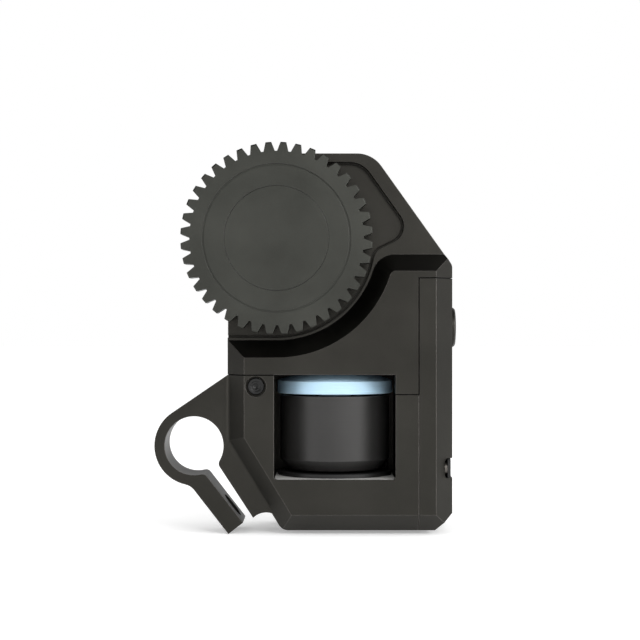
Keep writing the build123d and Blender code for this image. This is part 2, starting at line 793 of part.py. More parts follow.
# Lower housing: motor chamber with its window, board bays, right column and the rod clamp
with BuildPart() as lower_housing:
    add(block.part)
    with BuildSketch(facing(clamp_length)):
        add(clamp_face.sketch)
    extrude(amount=clamp_length)
    # round between the web's front and the bevel of the body
    web_points = [(body_left, -clamp_length / 2, (left_side_foot + seam_height) / 2),
                  ((body_left + left_slant_right) / 2, -clamp_length / 2, (left_side_foot - body_drop) / 2)]
    web_edges = lower_housing.edges().filter_by(GeomType.LINE)
    fillet([web_edges.sort_by_distance(point)[0] for point in web_points], web_foot_round)
    with BuildSketch(facing(body_depth)):
        add(upper_region(seam_gap, False))
    extrude(amount=body_depth + plateau_rise, mode=Mode.SUBTRACT)
    # room for the upper housing's tongue and lug
    with BuildSketch(facing(tongue_depth - plateau_rise + seam_gap)):
        add(upper_region(seam_gap, True))
    extrude(amount=tongue_depth + seam_gap, mode=Mode.SUBTRACT)
    with BuildSketch(facing(lug_front - plateau_rise + lug_width + lug_fit)):
        with Locations((front_screw_left, seam_height)):
            Rectangle(lug_side + 2 * lug_fit, lug_height + lug_fit, align=(Align.CENTER, Align.MAX))
    extrude(amount=lug_width + 2 * lug_fit, mode=Mode.SUBTRACT)
    # motor chamber and window
    with BuildSketch(facing(body_depth)):
        with Locations((chamber_left, chamber_floor)):
            Rectangle(chamber_right - chamber_left, seam_height - chamber_floor,
                      align=(Align.MIN, Align.MIN))
    extrude(amount=body_depth - chamber_front, mode=Mode.SUBTRACT)
    with BuildSketch(facing(chamber_front)) as window_face:
        with Locations((window_left, -window_foot)):
            Rectangle(window_width, window_foot + seam_height, align=(Align.MIN, Align.MIN))
        fillet(window_face.vertices().group_by(Axis.Y)[0], window_round)
    extrude(amount=window_skin, mode=Mode.SUBTRACT)
    # bays for the boards, open to the back
    with BuildSketch(facing(body_depth)):
        with Locations((bay_left, -bay_foot)):
            Rectangle(bay_right - bay_left, bay_foot + bay_top, align=(Align.MIN, Align.MIN))
        with Locations((column_bay_left, -bay_foot)):
            Rectangle(bay_right - column_bay_left, bay_foot + column_bay_top, align=(Align.MIN, Align.MIN))
    extrude(amount=body_depth + plateau_rise - bay_front, mode=Mode.SUBTRACT)
    with BuildSketch(facing(body_depth)):
        with Locations((bay_left, -bay_foot)):
            Rectangle(bay_nose_width, bay_foot + bay_top, align=(Align.MIN, Align.MIN))
    extrude(amount=body_depth + plateau_rise - bay_nose_front, mode=Mode.SUBTRACT)
    with BuildSketch(facing(body_depth)):
        with Locations((bottom_bay_left, -bottom_bay_floor)):
            Rectangle(bay_left - bottom_bay_left + bay_nose_width, bottom_bay_floor - bottom_bay_roof,
                      align=(Align.MIN, Align.MIN))
    extrude(amount=body_depth + plateau_rise - bottom_bay_front, mode=Mode.SUBTRACT)
    # posts and tapped holes for the back cover
    with BuildSketch(facing(body_depth)):
        with Locations(lower_cover_holes[2]):
            Circle(m25_head_radius)
            with Locations((m25_head_radius / 2, -m25_head_radius)):
                Rectangle(m25_head_radius, 2 * m25_head_radius)
    extrude(amount=cover_screw_length + m25_head_radius)
    with BuildSketch(facing(body_depth)):
        with Locations(*lower_cover_holes):
            Circle(m25_thread)
    extrude(amount=cover_screw_length, mode=Mode.SUBTRACT)
    # fine groove in the front below the tongue, where the column begins
    with BuildSketch(Plane.YZ.offset(column_left)):
        with BuildLine():
            Polyline(
                (-plateau_rise - clamp_length, tongue_foot),
                (parting_depth - plateau_rise - clamp_length / 2, tongue_foot),
                (parting_depth - plateau_rise - clamp_length / 2, bevel_run - body_drop),
                (parting_depth - clamp_length / 2, -body_drop),
                (parting_depth - clamp_length / 2, -body_drop - cut_over),
                (-plateau_rise - clamp_length, -body_drop - cut_over),
                close=True,
            )
        make_face()
    extrude(amount=seam_gap, mode=Mode.SUBTRACT)
    # counterbore and hole of the front screw
    with BuildSketch(facing(front_bore_depth - plateau_rise)):
        with Locations((front_screw_left, front_screw_height)):
            Circle(front_bore_radius)
    extrude(amount=front_bore_depth, mode=Mode.SUBTRACT)
    with BuildSketch(facing(lug_front - plateau_rise)):
        with Locations((front_screw_left, front_screw_height)):
            Circle(m25_clear)
    extrude(amount=lug_front, mode=Mode.SUBTRACT)
    # notch of the port with its floor, the opening of the port's shell, and the hole of the button
    with BuildSketch(Plane.YZ.offset(bay_right)):
        with Locations((bay_front - plateau_rise - clamp_length / 2, port_height)):
            Rectangle(port_notch_width, port_notch_height + 2 * port_floor_width, align=(Align.MIN, Align.CENTER))
    extrude(amount=-port_floor_width)
    with BuildSketch(Plane.YZ.offset(body_right)):
        with Locations((port_depth - clamp_length / 2, port_height)):
            RectangleRounded(port_notch_width, port_notch_height, port_notch_round)
    extrude(amount=-bay_right_wall, mode=Mode.SUBTRACT)
    with BuildSketch(Plane.YZ.offset(bay_right)):
        with Locations((port_depth - clamp_length / 2, port_height)):
            SlotOverall(port_shell_width + 2 * board_fit, port_shell_height + 2 * board_fit)
    extrude(amount=-port_shell_length, mode=Mode.SUBTRACT)
    with BuildSketch(Plane.YZ.offset(body_right)):
        with Locations((button_depth - clamp_length / 2, button_height)):
            Circle(button_radius + button_fit)
    extrude(amount=-bay_right_wall, mode=Mode.SUBTRACT)
    # grooves that hold the port board, ribs with a slot that hold the main board, rails under the driver board
    with BuildSketch(facing(port_board_front + port_board_depth + board_fit)):
        with Locations((bay_left - groove_bite, port_board_foot - board_fit)):
            Rectangle(port_board_right - bay_left + groove_bite + board_fit, board_width + 2 * board_fit,
                      align=(Align.MIN, Align.MIN))
    extrude(amount=port_board_depth + 2 * board_fit, mode=Mode.SUBTRACT)
    for edge, way, side in ((main_board_foot, 1, Align.MIN), (main_board_top, -1, Align.MAX)):
        with BuildSketch(facing(main_board_front + main_board_depth)):
            with Locations((column_bay_left, edge - way * rib_seat)):
                Rectangle(bay_right - column_bay_left, rib_seat + rib_width, align=(Align.MIN, side))
            with Locations((main_board_left - board_fit, edge - way * board_fit)):
                Rectangle(board_width + 2 * board_fit, board_fit + rib_width, align=(Align.MIN, side),
                          mode=Mode.SUBTRACT)
        extrude(amount=rib_depth)
    with BuildSketch(facing(driver_board_front + driver_board_depth)):
        with Locations((driver_board_left, -bottom_bay_floor),
                       (driver_board_left + driver_board_width - rail_width, -bottom_bay_floor)):
            Rectangle(rail_width, bottom_bay_floor + driver_board_height, align=(Align.MIN, Align.MIN))
    extrude(amount=driver_board_depth)
    # hole for the leads in the floor of the motor chamber
    with BuildSketch(motor_level(chamber_floor)):
        with Locations(Location((0, 0, 0), (0, 0, lead_angle))):
            with Locations((lead_place, 0)):
                Rectangle(4 * lead_radius, lead_notch_width)
    extrude(amount=-bottom_bay_roof - chamber_floor, mode=Mode.SUBTRACT)
    # holes of the clamp screw: clear through the arm, tapped in the body
    hole_start = along(arm_angle, rod_radius + clamp_screw_reach, arm_inner + arm_thickness)
    screw_plane = Plane(origin=(hole_start[0], 0, hole_start[1]), x_dir=(0, 1, 0),
                        z_dir=(sin(radians(arm_angle)), 0, cos(radians(arm_angle))))
    with BuildSketch(screw_plane):
        Circle(clamp_screw_hole_radius)
    extrude(amount=arm_thickness + arm_inner, mode=Mode.SUBTRACT)
    with BuildSketch(screw_plane):
        Circle(clamp_screw_tap_radius)
    extrude(amount=arm_thickness + arm_inner + slot_side + clamp_screw_tap_depth, mode=Mode.SUBTRACT)
finish(lower_housing, "lower_housing")

# Back cover, flat plate with a bevelled outer edge and countersunk screws
cover_screw_places = upper_cover_posts + lower_cover_holes
with BuildPart() as back_cover:
    with BuildSketch(facing(cover_back)):
        add(body_face.sketch)
    extrude(amount=cover_width)
    chamfer(back_cover.faces().sort_by(Axis.Y)[-1].edges(), cover_edge)
    for place in cover_screw_places:
        with Locations(Plane(origin=(place[0], cover_back - clamp_length / 2, place[1]),
                             x_dir=(1, 0, 0), z_dir=(0, 1, 0))):
            CounterSinkHole(m25_clear, m25_head_radius + board_fit, depth=cover_width,
                            counter_sink_angle=m25_sink_angle)
finish(back_cover, "back_cover")


def sunk_screw(length):
    """Countersunk screw that points along -Z, with its flat head at zero and a hexagon socket."""
    with BuildPart() as screw:
        Cylinder(m25_radius, length, align=(Align.CENTER, Align.CENTER, Align.MAX))
        Cone(m25_radius, m25_head_radius, m25_head_radius - m25_radius,
             align=(Align.CENTER, Align.CENTER, Align.MAX))
        with BuildSketch():
            RegularPolygon(socket_radius, 6)
        extrude(amount=-socket_depth, mode=Mode.SUBTRACT)
    return screw.part


def cap_screw(length):
    """Cap screw that points along -Z, its head standing on zero, with a hexagon socket."""
    with BuildPart() as screw:
        Cylinder(m25_radius, length, align=(Align.CENTER, Align.CENTER, Align.MAX))
        Cylinder(m25_head_radius, m25_head_width, align=(Align.CENTER, Align.CENTER, Align.MIN))
        chamfer(screw.faces().sort_by(Axis.Z)[-1].edges(), socket_depth / 4)
        with BuildSketch(Plane.XY.offset(m25_head_width)):
            RegularPolygon(socket_radius, 6)
        extrude(amount=-socket_depth, mode=Mode.SUBTRACT)
    return screw.part


def place_screws(name, screw, places, depth, towards):
    """Puts one screw at each place of the front view, its head at a depth, pointing to the front or back."""
    with BuildPart() as screws:
        for x, z in places:
            with Locations(Plane(origin=(x, depth - clamp_length / 2, z), x_dir=(1, 0, 0),
                                 z_dir=(0, towards, 0))):
                add(screw)
    finish(screws, name)


place_screws("back_cover_screws", sunk_screw(cover_width + cover_screw_length - wall), cover_screw_places,
             cover_back, 1)
place_screws("front_screw", cap_screw(front_screw_length), [(front_screw_left, front_screw_height)],
             front_bore_depth - plateau_rise, -1)

# Gearbox plate with the rear bearings
with BuildPart() as gearbox_plate:
    with BuildSketch(facing(plate_front + plate_width)):
        with Locations(*plate_posts):
            Circle(plate_margin)
        with Locations(shafts[0]):
            Circle(rear_bearing_radius + layshaft_radius)
        with Locations(*shafts[1:]):
            Circle(ring_bearing_radius + layshaft_radius)
        make_hull()
        with Locations(*plate_posts):
            Circle(m25_clear, mode=Mode.SUBTRACT)
        with Locations(shafts[0]):
            Circle(rear_bearing_radius, mode=Mode.SUBTRACT)
        with Locations(*shafts[1:]):
            Circle(ring_bearing_radius, mode=Mode.SUBTRACT)
    extrude(amount=plate_width)
finish(gearbox_plate, "gearbox_plate")
place_screws("gearbox_plate_screws", cap_screw(plate_width + plate_screw_length - wall), plate_posts,
             plate_front + plate_width, 1)


def bearing(outer, bore, width):
    """Ball bearing about Z from zero up, with a shallow shield groove in both faces."""
    middle = (outer + bore) / 2
    groove = (outer - bore) / 4
    with BuildPart() as ring:
        Cylinder(outer - seat_fit, width, align=(Align.CENTER, Align.CENTER, Align.MIN))
        Cylinder(bore + shaft_fit, width, align=(Align.CENTER, Align.CENTER, Align.MIN), mode=Mode.SUBTRACT)
        for height, way in ((0, 1), (width, -1)):
            with BuildSketch(Plane.XY.offset(height)):
                Circle(middle + groove)
                Circle(middle - groove, mode=Mode.SUBTRACT)
            extrude(amount=way * width / 12, mode=Mode.SUBTRACT)
    return ring.part


def place_bearings(name, ring, places):
    """Puts one bearing at each place, given as x, z and the depth of its front face."""
    with BuildPart() as rings:
        for x, z, depth in places:
            with Locations(Plane(origin=(x, depth - clamp_length / 2, z), x_dir=(1, 0, 0), z_dir=(0, 1, 0))):
                add(ring)
    finish(rings, name)


place_bearings("output_front_bearing",
               bearing(output_bearing_radius, output_shaft_radius, output_bearing_width),
               [(*shafts[0], well_depth + output_lip)])
place_bearings("output_rear_bearing", bearing(rear_bearing_radius, output_shaft_radius, plate_width),
               [(*shafts[0], plate_front)])
small_bearing = bearing(ring_bearing_radius, layshaft_radius, ring_bearing_width)
place_bearings("layshaft_bearings", small_bearing,
               [(x, z, depth) for x, z in shafts[1:] for depth in (inner_front, plate_front)])

# Stator base: blue anodised band with a conical top, hub and bearing tube
motor_section = Plane(origin=(motor_x, motor_y, 0), x_dir=(1, 0, 0), z_dir=(0, -1, 0))
motor_axis = Axis((motor_x, motor_y, 0), (0, 0, 1))
band_top = base_band_foot + base_band_height
cone_rise = (base_radius - base_hub_radius) * tan(radians(base_cone_angle))
with BuildPart() as stator_base:
    with BuildSketch(motor_section):
        with BuildLine():
            Polyline(
                (tube_radius, tube_foot),
                (tube_radius, base_under),
                (base_radius - base_band_wall, base_under),
                (base_radius - base_band_wall, base_band_foot),
                (base_radius, base_band_foot),
                (base_radius, band_top),
                (base_hub_radius, band_top + cone_rise),
                (base_hub_radius, base_hub_top),
                (ring_bearing_radius, base_hub_top),
                (ring_bearing_radius, base_hub_top - ring_bearing_width),
                (ring_bearing_radius - tube_step, base_hub_top - ring_bearing_width),
                (ring_bearing_radius - tube_step, tube_foot + ring_bearing_width),
                (ring_bearing_radius, tube_foot + ring_bearing_width),
                (ring_bearing_radius, tube_foot),
                close=True,
            )
        make_face()
    revolve(axis=motor_axis)
    with BuildSketch(motor_level(base_hub_top)):
        with Locations(*motor_screw_places):
            Circle(m25_thread)
    extrude(amount=-motor_screw_length, mode=Mode.SUBTRACT)
    # notch in the band for the leads
    with BuildSketch(motor_level(base_band_foot)):
        with Locations(Location((0, 0, 0), (0, 0, lead_angle))):
            with Locations((base_radius, 0)):
                Rectangle(2 * base_band_wall + lead_radius, lead_notch_width)
    extrude(amount=base_under - base_band_foot, mode=Mode.SUBTRACT)
finish(stator_base, "stator_base")

with BuildPart() as motor_bearings:
    with Locations((motor_x, motor_y, tube_foot), (motor_x, motor_y, base_hub_top - ring_bearing_width)):
        add(small_bearing)
finish(motor_bearings, "motor_bearings")

with BuildPart() as motor_screws_set:
    with Locations(*[(motor_x + x, motor_y + y, gearbox_floor_top) for x, y in motor_screw_places]):
        add(cap_screw(motor_screw_length))
finish(motor_screws_set, "motor_screws")

# Stator core: stacked sheets with arms and shoes
core_hub = tube_radius + stator_ring
shoe_inner = stator_radius - stator_shoe
with BuildPart() as stator_core:
    with BuildSketch(motor_level(stator_foot)):
        Circle(stator_radius)
        Circle(shoe_inner, mode=Mode.SUBTRACT)
        with PolarLocations(stator_radius, stator_arms, start_angle=180 / stator_arms):
            Rectangle(4 * stator_shoe, stator_slot, mode=Mode.SUBTRACT)
        with PolarLocations((tube_radius + stator_radius) / 2, stator_arms):
            Rectangle(stator_radius - tube_radius - stator_shoe, stator_arm)
        Circle(core_hub)
        Circle(tube_radius + seat_fit, mode=Mode.SUBTRACT)
    extrude(amount=stator_height)
finish(stator_core, "stator_core")

# Windings: one coil around each arm
coil_in = core_hub + coil_gap
coil_out = shoe_inner - coil_gap
coil_in_half = coil_in * tan(pi / stator_arms) - coil_gap / 2
coil_out_half = coil_out * tan(pi / stator_arms) - coil_gap / 2
with BuildSketch() as coil_face:
    with BuildLine():
        Polyline((coil_in, -coil_in_half), (coil_out, -coil_out_half), (coil_out, coil_out_half),
                 (coil_in, coil_in_half), close=True)
    make_face()
    fillet(coil_face.vertices(), coil_round)
with BuildPart() as windings:
    with BuildSketch(motor_level(stator_foot - coil_over)):
        with PolarLocations(0, stator_arms):
            add(coil_face.sketch)
    extrude(amount=stator_height + 2 * coil_over)
    with BuildSketch(motor_level(stator_foot - coil_clear)):
        with PolarLocations((tube_radius + stator_radius) / 2, stator_arms):
            Rectangle(stator_radius - tube_radius, stator_arm + 2 * coil_clear)
    extrude(amount=stator_height + 2 * coil_clear, mode=Mode.SUBTRACT)
finish(windings, "windings")

# Leads of the motor, from the windings through the band's notch and down to the driver board
lead_foot = driver_board_height + board_width
with BuildPart() as motor_leads:
    for number in range(lead_count):
        side = (number - (lead_count - 1) / 2) * lead_pitch
        start = Plane(motor_level(0).location * Location((0, 0, 0), (0, 0, lead_angle))
                      * Location((lead_start, side, lead_height), (0, 90, 0)))
        run = Plane(motor_level(0).location * Location((0, 0, 0), (0, 0, lead_angle))
                    * Location((0, side, 0), (90, 0, 0)))
        with BuildLine(run):
            FilletPolyline((lead_start, lead_height), (lead_place, lead_height), (lead_place, lead_foot),
                           radius=lead_bend)
        with BuildSketch(start):
            Circle(lead_radius)
        sweep()
finish(motor_leads, "motor_leads")

# Rotor: can with magnets inside, shaft with a clip, and the small magnet that the encoder reads
can_floor_top = can_foot + can_floor
can_chamfer_top = can_foot + can_chamfer_height
magnet_seat_top = can_foot + encoder_magnet_width + seat_fit
inner_chamfer = can_chamfer * (can_chamfer_height - can_floor / 2) / can_chamfer_height
with BuildPart() as rotor_can:
    with BuildSketch(motor_section):
        with BuildLine():
            Polyline(
                (can_inner, can_top),
                (can_radius, can_top),
                (can_radius, can_chamfer_top),
                (can_radius - can_chamfer, can_foot),
                (encoder_magnet_radius + seat_fit, can_foot),
                (encoder_magnet_radius + seat_fit, magnet_seat_top),
                (motor_shaft_radius + seat_fit, magnet_seat_top),
                (motor_shaft_radius + seat_fit, can_hub_top),
                (can_hub_radius, can_hub_top),
                (can_hub_radius, can_floor_top),
                (can_inner - inner_chamfer, can_floor_top),
                (can_inner, can_chamfer_top + can_floor / 2),
                close=True,
            )
        make_face()
    revolve(axis=motor_axis)
    with BuildSketch(motor_level(can_foot)):
        with PolarLocations(can_vent_place, can_vents):
            Circle(can_vent_radius)
    extrude(amount=can_floor, mode=Mode.SUBTRACT)
finish(rotor_can, "rotor_can")

with BuildPart() as rotor_magnets:
    with BuildSketch(motor_level(magnet_foot)):
        Circle(can_inner - seat_fit)
        Circle(can_inner - magnet_thickness, mode=Mode.SUBTRACT)
        with PolarLocations(can_inner, magnet_count):
            Rectangle(4 * magnet_thickness, 2 * pi * can_inner / magnet_count * (1 - magnet_share),
                      mode=Mode.SUBTRACT)
    extrude(amount=magnet_height)
finish(rotor_magnets, "rotor_magnets")

pinion_foot = gearbox_floor_top + pinion_floor_gap
pinion_small = bevel_gear_radius * (1 - bevel_face / hypot(bevel_pinion_radius, bevel_gear_radius))
motor_shaft_top = bevel_z - pinion_small + shaft_end_gap
clip_foot = base_hub_top + clip_gap
with BuildPart() as motor_shaft:
    with BuildSketch(motor_level(magnet_seat_top)):
        Circle(motor_shaft_radius)
    extrude(amount=motor_shaft_top - magnet_seat_top)
    chamfer(motor_shaft.faces().sort_by(Axis.Z)[-1].edges(), shaft_end_gap)
    with BuildSketch(motor_level(clip_foot)):
        Circle(motor_shaft_radius)
        Circle(motor_shaft_radius - clip_bite, mode=Mode.SUBTRACT)
    extrude(amount=clip_width, mode=Mode.SUBTRACT)
finish(motor_shaft, "motor_shaft")

with BuildPart() as shaft_clip:
    with BuildSketch(motor_level(clip_foot + board_fit)):
        Circle(clip_radius)
        Circle(motor_shaft_radius - clip_bite + seat_fit, mode=Mode.SUBTRACT)
        with Locations((clip_radius, 0)):
            Rectangle(2 * clip_radius, motor_shaft_radius, mode=Mode.SUBTRACT)
    extrude(amount=clip_width - 2 * board_fit)
finish(shaft_clip, "shaft_clip")

with BuildPart() as encoder_magnet:
    with BuildSketch(motor_level(can_foot)):
        Circle(encoder_magnet_radius)
    extrude(amount=encoder_magnet_width)
finish(encoder_magnet, "encoder_magnet")

# Round encoder board on the floor of the window, with the sensor chip in its middle
with BuildPart() as encoder_board:
    with BuildSketch(motor_level(chamber_floor)):
        Circle(encoder_board_radius)
    extrude(amount=encoder_board_width)
    with BuildSketch(motor_level(chamber_floor + encoder_board_width)):
        Rectangle(encoder_chip_side, encoder_chip_side)
    extrude(amount=encoder_chip_width)
finish(encoder_board, "encoder_board")

# Bevel pinion on the motor shaft, one tooth towards the back
with BuildPart() as bevel_pinion:
    for distance in (pinion_small, bevel_outer):
        with BuildSketch(motor_level(bevel_z - distance)):
            add(bevel_section(bevel_pinion_teeth, bevel_gear_teeth, distance, 90))
    loft(ruled=True)
    with BuildSketch(motor_level(pinion_foot)):
        Circle(bevel_hub_radius)
    extrude(amount=bevel_pinion_hub)
    with BuildSketch(motor_level(pinion_foot)):
        Circle(motor_shaft_radius + seat_fit)
    extrude(amount=motor_shaft_top - pinion_foot, mode=Mode.SUBTRACT)
finish(bevel_pinion, "bevel_pinion")

# Bevel gear on its shaft, one gap towards the pinion below, cut round at its outer end
gear_small = pinion_small * bevel_pinion_radius / bevel_gear_radius
bevel_root_angle = (atan2(bevel_gear_radius, bevel_pinion_radius)
                    - atan2(dedendum_share * bevel_module, hypot(bevel_pinion_radius, bevel_gear_radius)))
gear_large = bevel_outer / tan(bevel_root_angle)
bevel_gear_phase = 180 / bevel_gear_teeth - 90


def shaft_face(place, depth):
    """Plane that looks to the front at a depth, with its origin on a shaft's axis."""
    return Plane(origin=(place[0], depth - clamp_length / 2, place[1]), x_dir=(1, 0, 0), z_dir=(0, -1, 0))


with BuildPart() as bevel_gear:
    for distance in (gear_small, gear_large):
        with BuildSketch(shaft_face(shafts[1], motor_depth + distance)):
            add(bevel_section(bevel_gear_teeth, bevel_pinion_teeth, distance, bevel_gear_phase))
    loft(ruled=True)
    with BuildSketch(shaft_face(shafts[1], motor_depth + gear_large)):
        Circle(bevel_outer)
    extrude(amount=gear_large, mode=Mode.INTERSECT)
    with BuildSketch(shaft_face(shafts[1], motor_depth + gear_large + bevel_disc)):
        Circle(bevel_outer)
    extrude(amount=bevel_disc)
    with BuildSketch(shaft_face(shafts[1], motor_depth + gear_large + bevel_disc)):
        Circle(layshaft_radius + seat_fit)
    extrude(amount=gear_large + bevel_disc, mode=Mode.SUBTRACT)
finish(bevel_gear, "bevel_gear")


def towards(start, end):
    """Angle of the direction from one shaft to another, in the front view."""
    return degrees(atan2(end[1] - start[1], end[0] - start[0]))


def place_gear(name, teeth, shaft, mate, tooth_first, front, width, bore):
    """Spur gear on a shaft, with a tooth or a gap in the direction of its mate."""
    phase = towards(shaft, mate) + (0 if tooth_first else 180 / teeth)
    with BuildPart() as gear:
        with BuildSketch(shaft_face(shaft, front + width)):
            add(spur_gear(teeth, phase))
            Circle(bore + seat_fit, mode=Mode.SUBTRACT)
        extrude(amount=width)
    finish(gear, name)


output_place, bevel_place, idler_place = shafts
pinion_lead = (first_pinion_width - idler_width) / 2
place_gear("first_pinion", first_pinion_teeth, bevel_place, idler_place, True, idler_front - pinion_lead,
           first_pinion_width, layshaft_radius)
place_gear("idler_gear", idler_gear_teeth, idler_place, bevel_place, False, idler_front, idler_width,
           layshaft_radius)
place_gear("idler_pinion", idler_pinion_teeth, idler_place, output_place, True, drive_front, drive_width,
           layshaft_radius)
place_gear("drive_gear", drive_gear_teeth, output_place, idler_place, False, drive_front, drive_width,
           output_shaft_radius)


def layshaft(name, place, thick_front, thick_back):
    """Layshaft between its bearings, thicker between two depths."""
    with BuildPart() as shaft:
        with BuildSketch(shaft_face(place, shaft_back)):
            Circle(layshaft_radius)
        extrude(amount=shaft_back - inner_front - shaft_end_gap)
        with BuildSketch(shaft_face(place, thick_back)):
            Circle(layshaft_radius + collar_rim)
        extrude(amount=thick_back - thick_front)
    finish(shaft, name)


layshaft("bevel_shaft", bevel_place, inner_front + ring_bearing_width + collar_gap,
         motor_depth + gear_small - seat_fit)
layshaft("idler_shaft", idler_place, drive_front + drive_width + seat_fit, idler_front - seat_fit)

# Output shaft with its flange for the front gear
with BuildPart() as output_shaft:
    with BuildSketch(shaft_face(output_place, shaft_back)):
        Circle(output_shaft_radius)
    extrude(amount=shaft_back - gear_back)
    with BuildSketch(shaft_face(output_place, well_depth + output_lip - collar_gap)):
        Circle(pilot_radius)
    extrude(amount=well_depth + output_lip - collar_gap - gear_back)
    with BuildSketch(shaft_face(output_place, gear_back)):
        Circle(flange_radius)
    extrude(amount=flange_width)
    with BuildSketch(shaft_face(output_place, flange_front)):
        Circle(pilot_radius)
    extrude(amount=gear_web - cap_fit)
    with BuildSketch(shaft_face(output_place, gear_back)):
        with PolarLocations(gear_screw_place, gear_screws, start_angle=90):
            Circle(m25_thread)
    extrude(amount=flange_width, mode=Mode.SUBTRACT)
finish(output_shaft, "output_shaft")

# Gear on the front, with straight flanks, a turned groove, a seat for the cap and a recess behind
tooth_flank = [(gear_root_radius, degrees(gear_root_width / 2 / gear_root_radius)),
               (gear_tip_radius, degrees(gear_tip_width / 2 / gear_tip_radius))]
with BuildPart() as output_gear:
    with BuildSketch(shaft_face(output_place, gear_back)):
        add(toothed_line(gear_teeth, tooth_flank, gear_phase))
    extrude(amount=gear_width)
    with BuildSketch(Plane(origin=(gear_x, gear_back - clamp_length / 2, gear_z), x_dir=(1, 0, 0),
                           z_dir=(0, 0, 1))):
        with BuildLine():
            Polyline(
                (0, 0),
                (gear_tip_radius - gear_edge, 0),
                (gear_tip_radius + gear_edge, -2 * gear_edge),
                (gear_tip_radius + gear_edge, 2 * gear_edge - gear_width),
                (gear_tip_radius - gear_edge, -gear_width),
                (0, -gear_width),
                close=True,
            )
        make_face()
    revolve(axis=Axis((gear_x, 0, gear_z), (0, 1, 0)), mode=Mode.INTERSECT)
    with BuildSketch(shaft_face(output_place, -gear_front)):
        Circle(groove_radius + groove_width / 2)
        Circle(groove_radius - groove_width / 2, mode=Mode.SUBTRACT)
    extrude(amount=-groove_depth, mode=Mode.SUBTRACT)
    with BuildSketch(shaft_face(output_place, -gear_front)):
        Circle(cap_radius + cap_fit)
    extrude(amount=-cap_width, mode=Mode.SUBTRACT)
    with BuildSketch(shaft_face(output_place, -gear_front)):
        Circle(cap_spigot_radius + cap_fit)
    extrude(amount=-gear_front - web_front, mode=Mode.SUBTRACT)
    with BuildSketch(shaft_face(output_place, gear_back)):
        Circle(flange_radius + cap_fit)
    extrude(amount=flange_width, mode=Mode.SUBTRACT)
    with BuildSketch(shaft_face(output_place, gear_back)):
        Circle(gear_root_radius - gear_back_rim)
        Circle(flange_radius + gear_back_rim, mode=Mode.SUBTRACT)
    extrude(amount=gear_back_recess, mode=Mode.SUBTRACT)
    with BuildSketch(shaft_face(output_place, flange_front)):
        Circle(pilot_radius + seat_fit)
        with PolarLocations(gear_screw_place, gear_screws, start_angle=90):
            Circle(m25_clear)
    extrude(amount=gear_web, mode=Mode.SUBTRACT)
finish(output_gear, "output_gear")

with BuildPart() as gear_cap:
    with BuildSketch(shaft_face(output_place, cap_width - gear_front)):
        Circle(cap_radius)
    extrude(amount=cap_width)
    chamfer(gear_cap.faces().sort_by(Axis.Y)[0].edges(), cap_fit)
    with BuildSketch(shaft_face(output_place, cap_width + cap_spigot_width - gear_front)):
        Circle(cap_spigot_radius)
        Circle(cap_spigot_radius - cap_width, mode=Mode.SUBTRACT)
    extrude(amount=cap_spigot_width)
finish(gear_cap, "gear_cap")

gear_screw_places = [
    (gear_x + gear_screw_place * cos(radians(90 + 360 * k / gear_screws)),
     gear_z + gear_screw_place * sin(radians(90 + 360 * k / gear_screws)))
    for k in range(gear_screws)
]
place_screws("gear_screws", cap_screw(gear_web + flange_width - shaft_end_gap), gear_screw_places, web_front, -1)

# Button on the right side, with a flange behind the wall
button_back = bay_right - button_flange_gap - button_flange
with BuildPart() as side_button:
    with BuildSketch(Plane.YZ.offset(button_back)):
        with Locations((button_depth - clamp_length / 2, button_height)):
            Circle(button_flange_radius)
    extrude(amount=button_flange)
    with BuildSketch(Plane.YZ.offset(button_back)):
        with Locations((button_depth - clamp_length / 2, button_height)):
            Circle(button_radius)
    extrude(amount=body_right + button_proud - button_back)
    chamfer(side_button.faces().sort_by(Axis.X)[-1].edges(), button_edge)
finish(side_button, "side_button")

# Main board with its chips and the switch behind the button
main_board_right = main_board_left + board_width


def on_board(name, places, side, width, height, thickness):
    """Chips on one side of the main board, at places given as depth and height."""
    with BuildPart() as chips:
        with BuildSketch(Plane.YZ.offset(main_board_left if side < 0 else main_board_right)):
            with Locations(*[(depth - clamp_length / 2, z) for depth, z in places]):
                Rectangle(width, height)
        extrude(amount=side * thickness)
    finish(chips, name)


with BuildPart() as main_board:
    with BuildSketch(Plane.YZ.offset(main_board_left)):
        with Locations((main_board_front - clamp_length / 2, main_board_foot)):
            Rectangle(main_board_depth, main_board_height, align=(Align.MIN, Align.MIN))
    extrude(amount=board_width)
finish(main_board, "main_board")
chip_row = main_board_front + main_board_depth / 3
on_board("main_board_chips", [(chip_row, chip_side), (2 * chip_row, chip_side)], -1, chip_side, chip_side, chip_width)

switch_height = button_back - button_travel - switch_gap - main_board_right
with BuildPart() as button_switch:
    with BuildSketch(Plane.YZ.offset(main_board_right)):
        with Locations((button_depth - clamp_length / 2, button_height)):
            Rectangle(switch_side, switch_side)
    extrude(amount=switch_height - switch_plunger_width)
    with BuildSketch(Plane.YZ.offset(main_board_right + switch_height - switch_plunger_width)):
        with Locations((button_depth - clamp_length / 2, button_height)):
            Circle(switch_plunger_radius)
    extrude(amount=switch_plunger_width)
finish(button_switch, "button_switch")

# Port: board in its grooves, metal shell and tongue
with BuildPart() as port_board:
    with BuildSketch(facing(port_board_front + port_board_depth)):
        with Locations((bay_left - groove_bite + board_fit, port_board_foot)):
            Rectangle(port_board_right - bay_left + groove_bite - board_fit, board_width,
                      align=(Align.MIN, Align.MIN))
    extrude(amount=port_board_depth)
finish(port_board, "port_board")

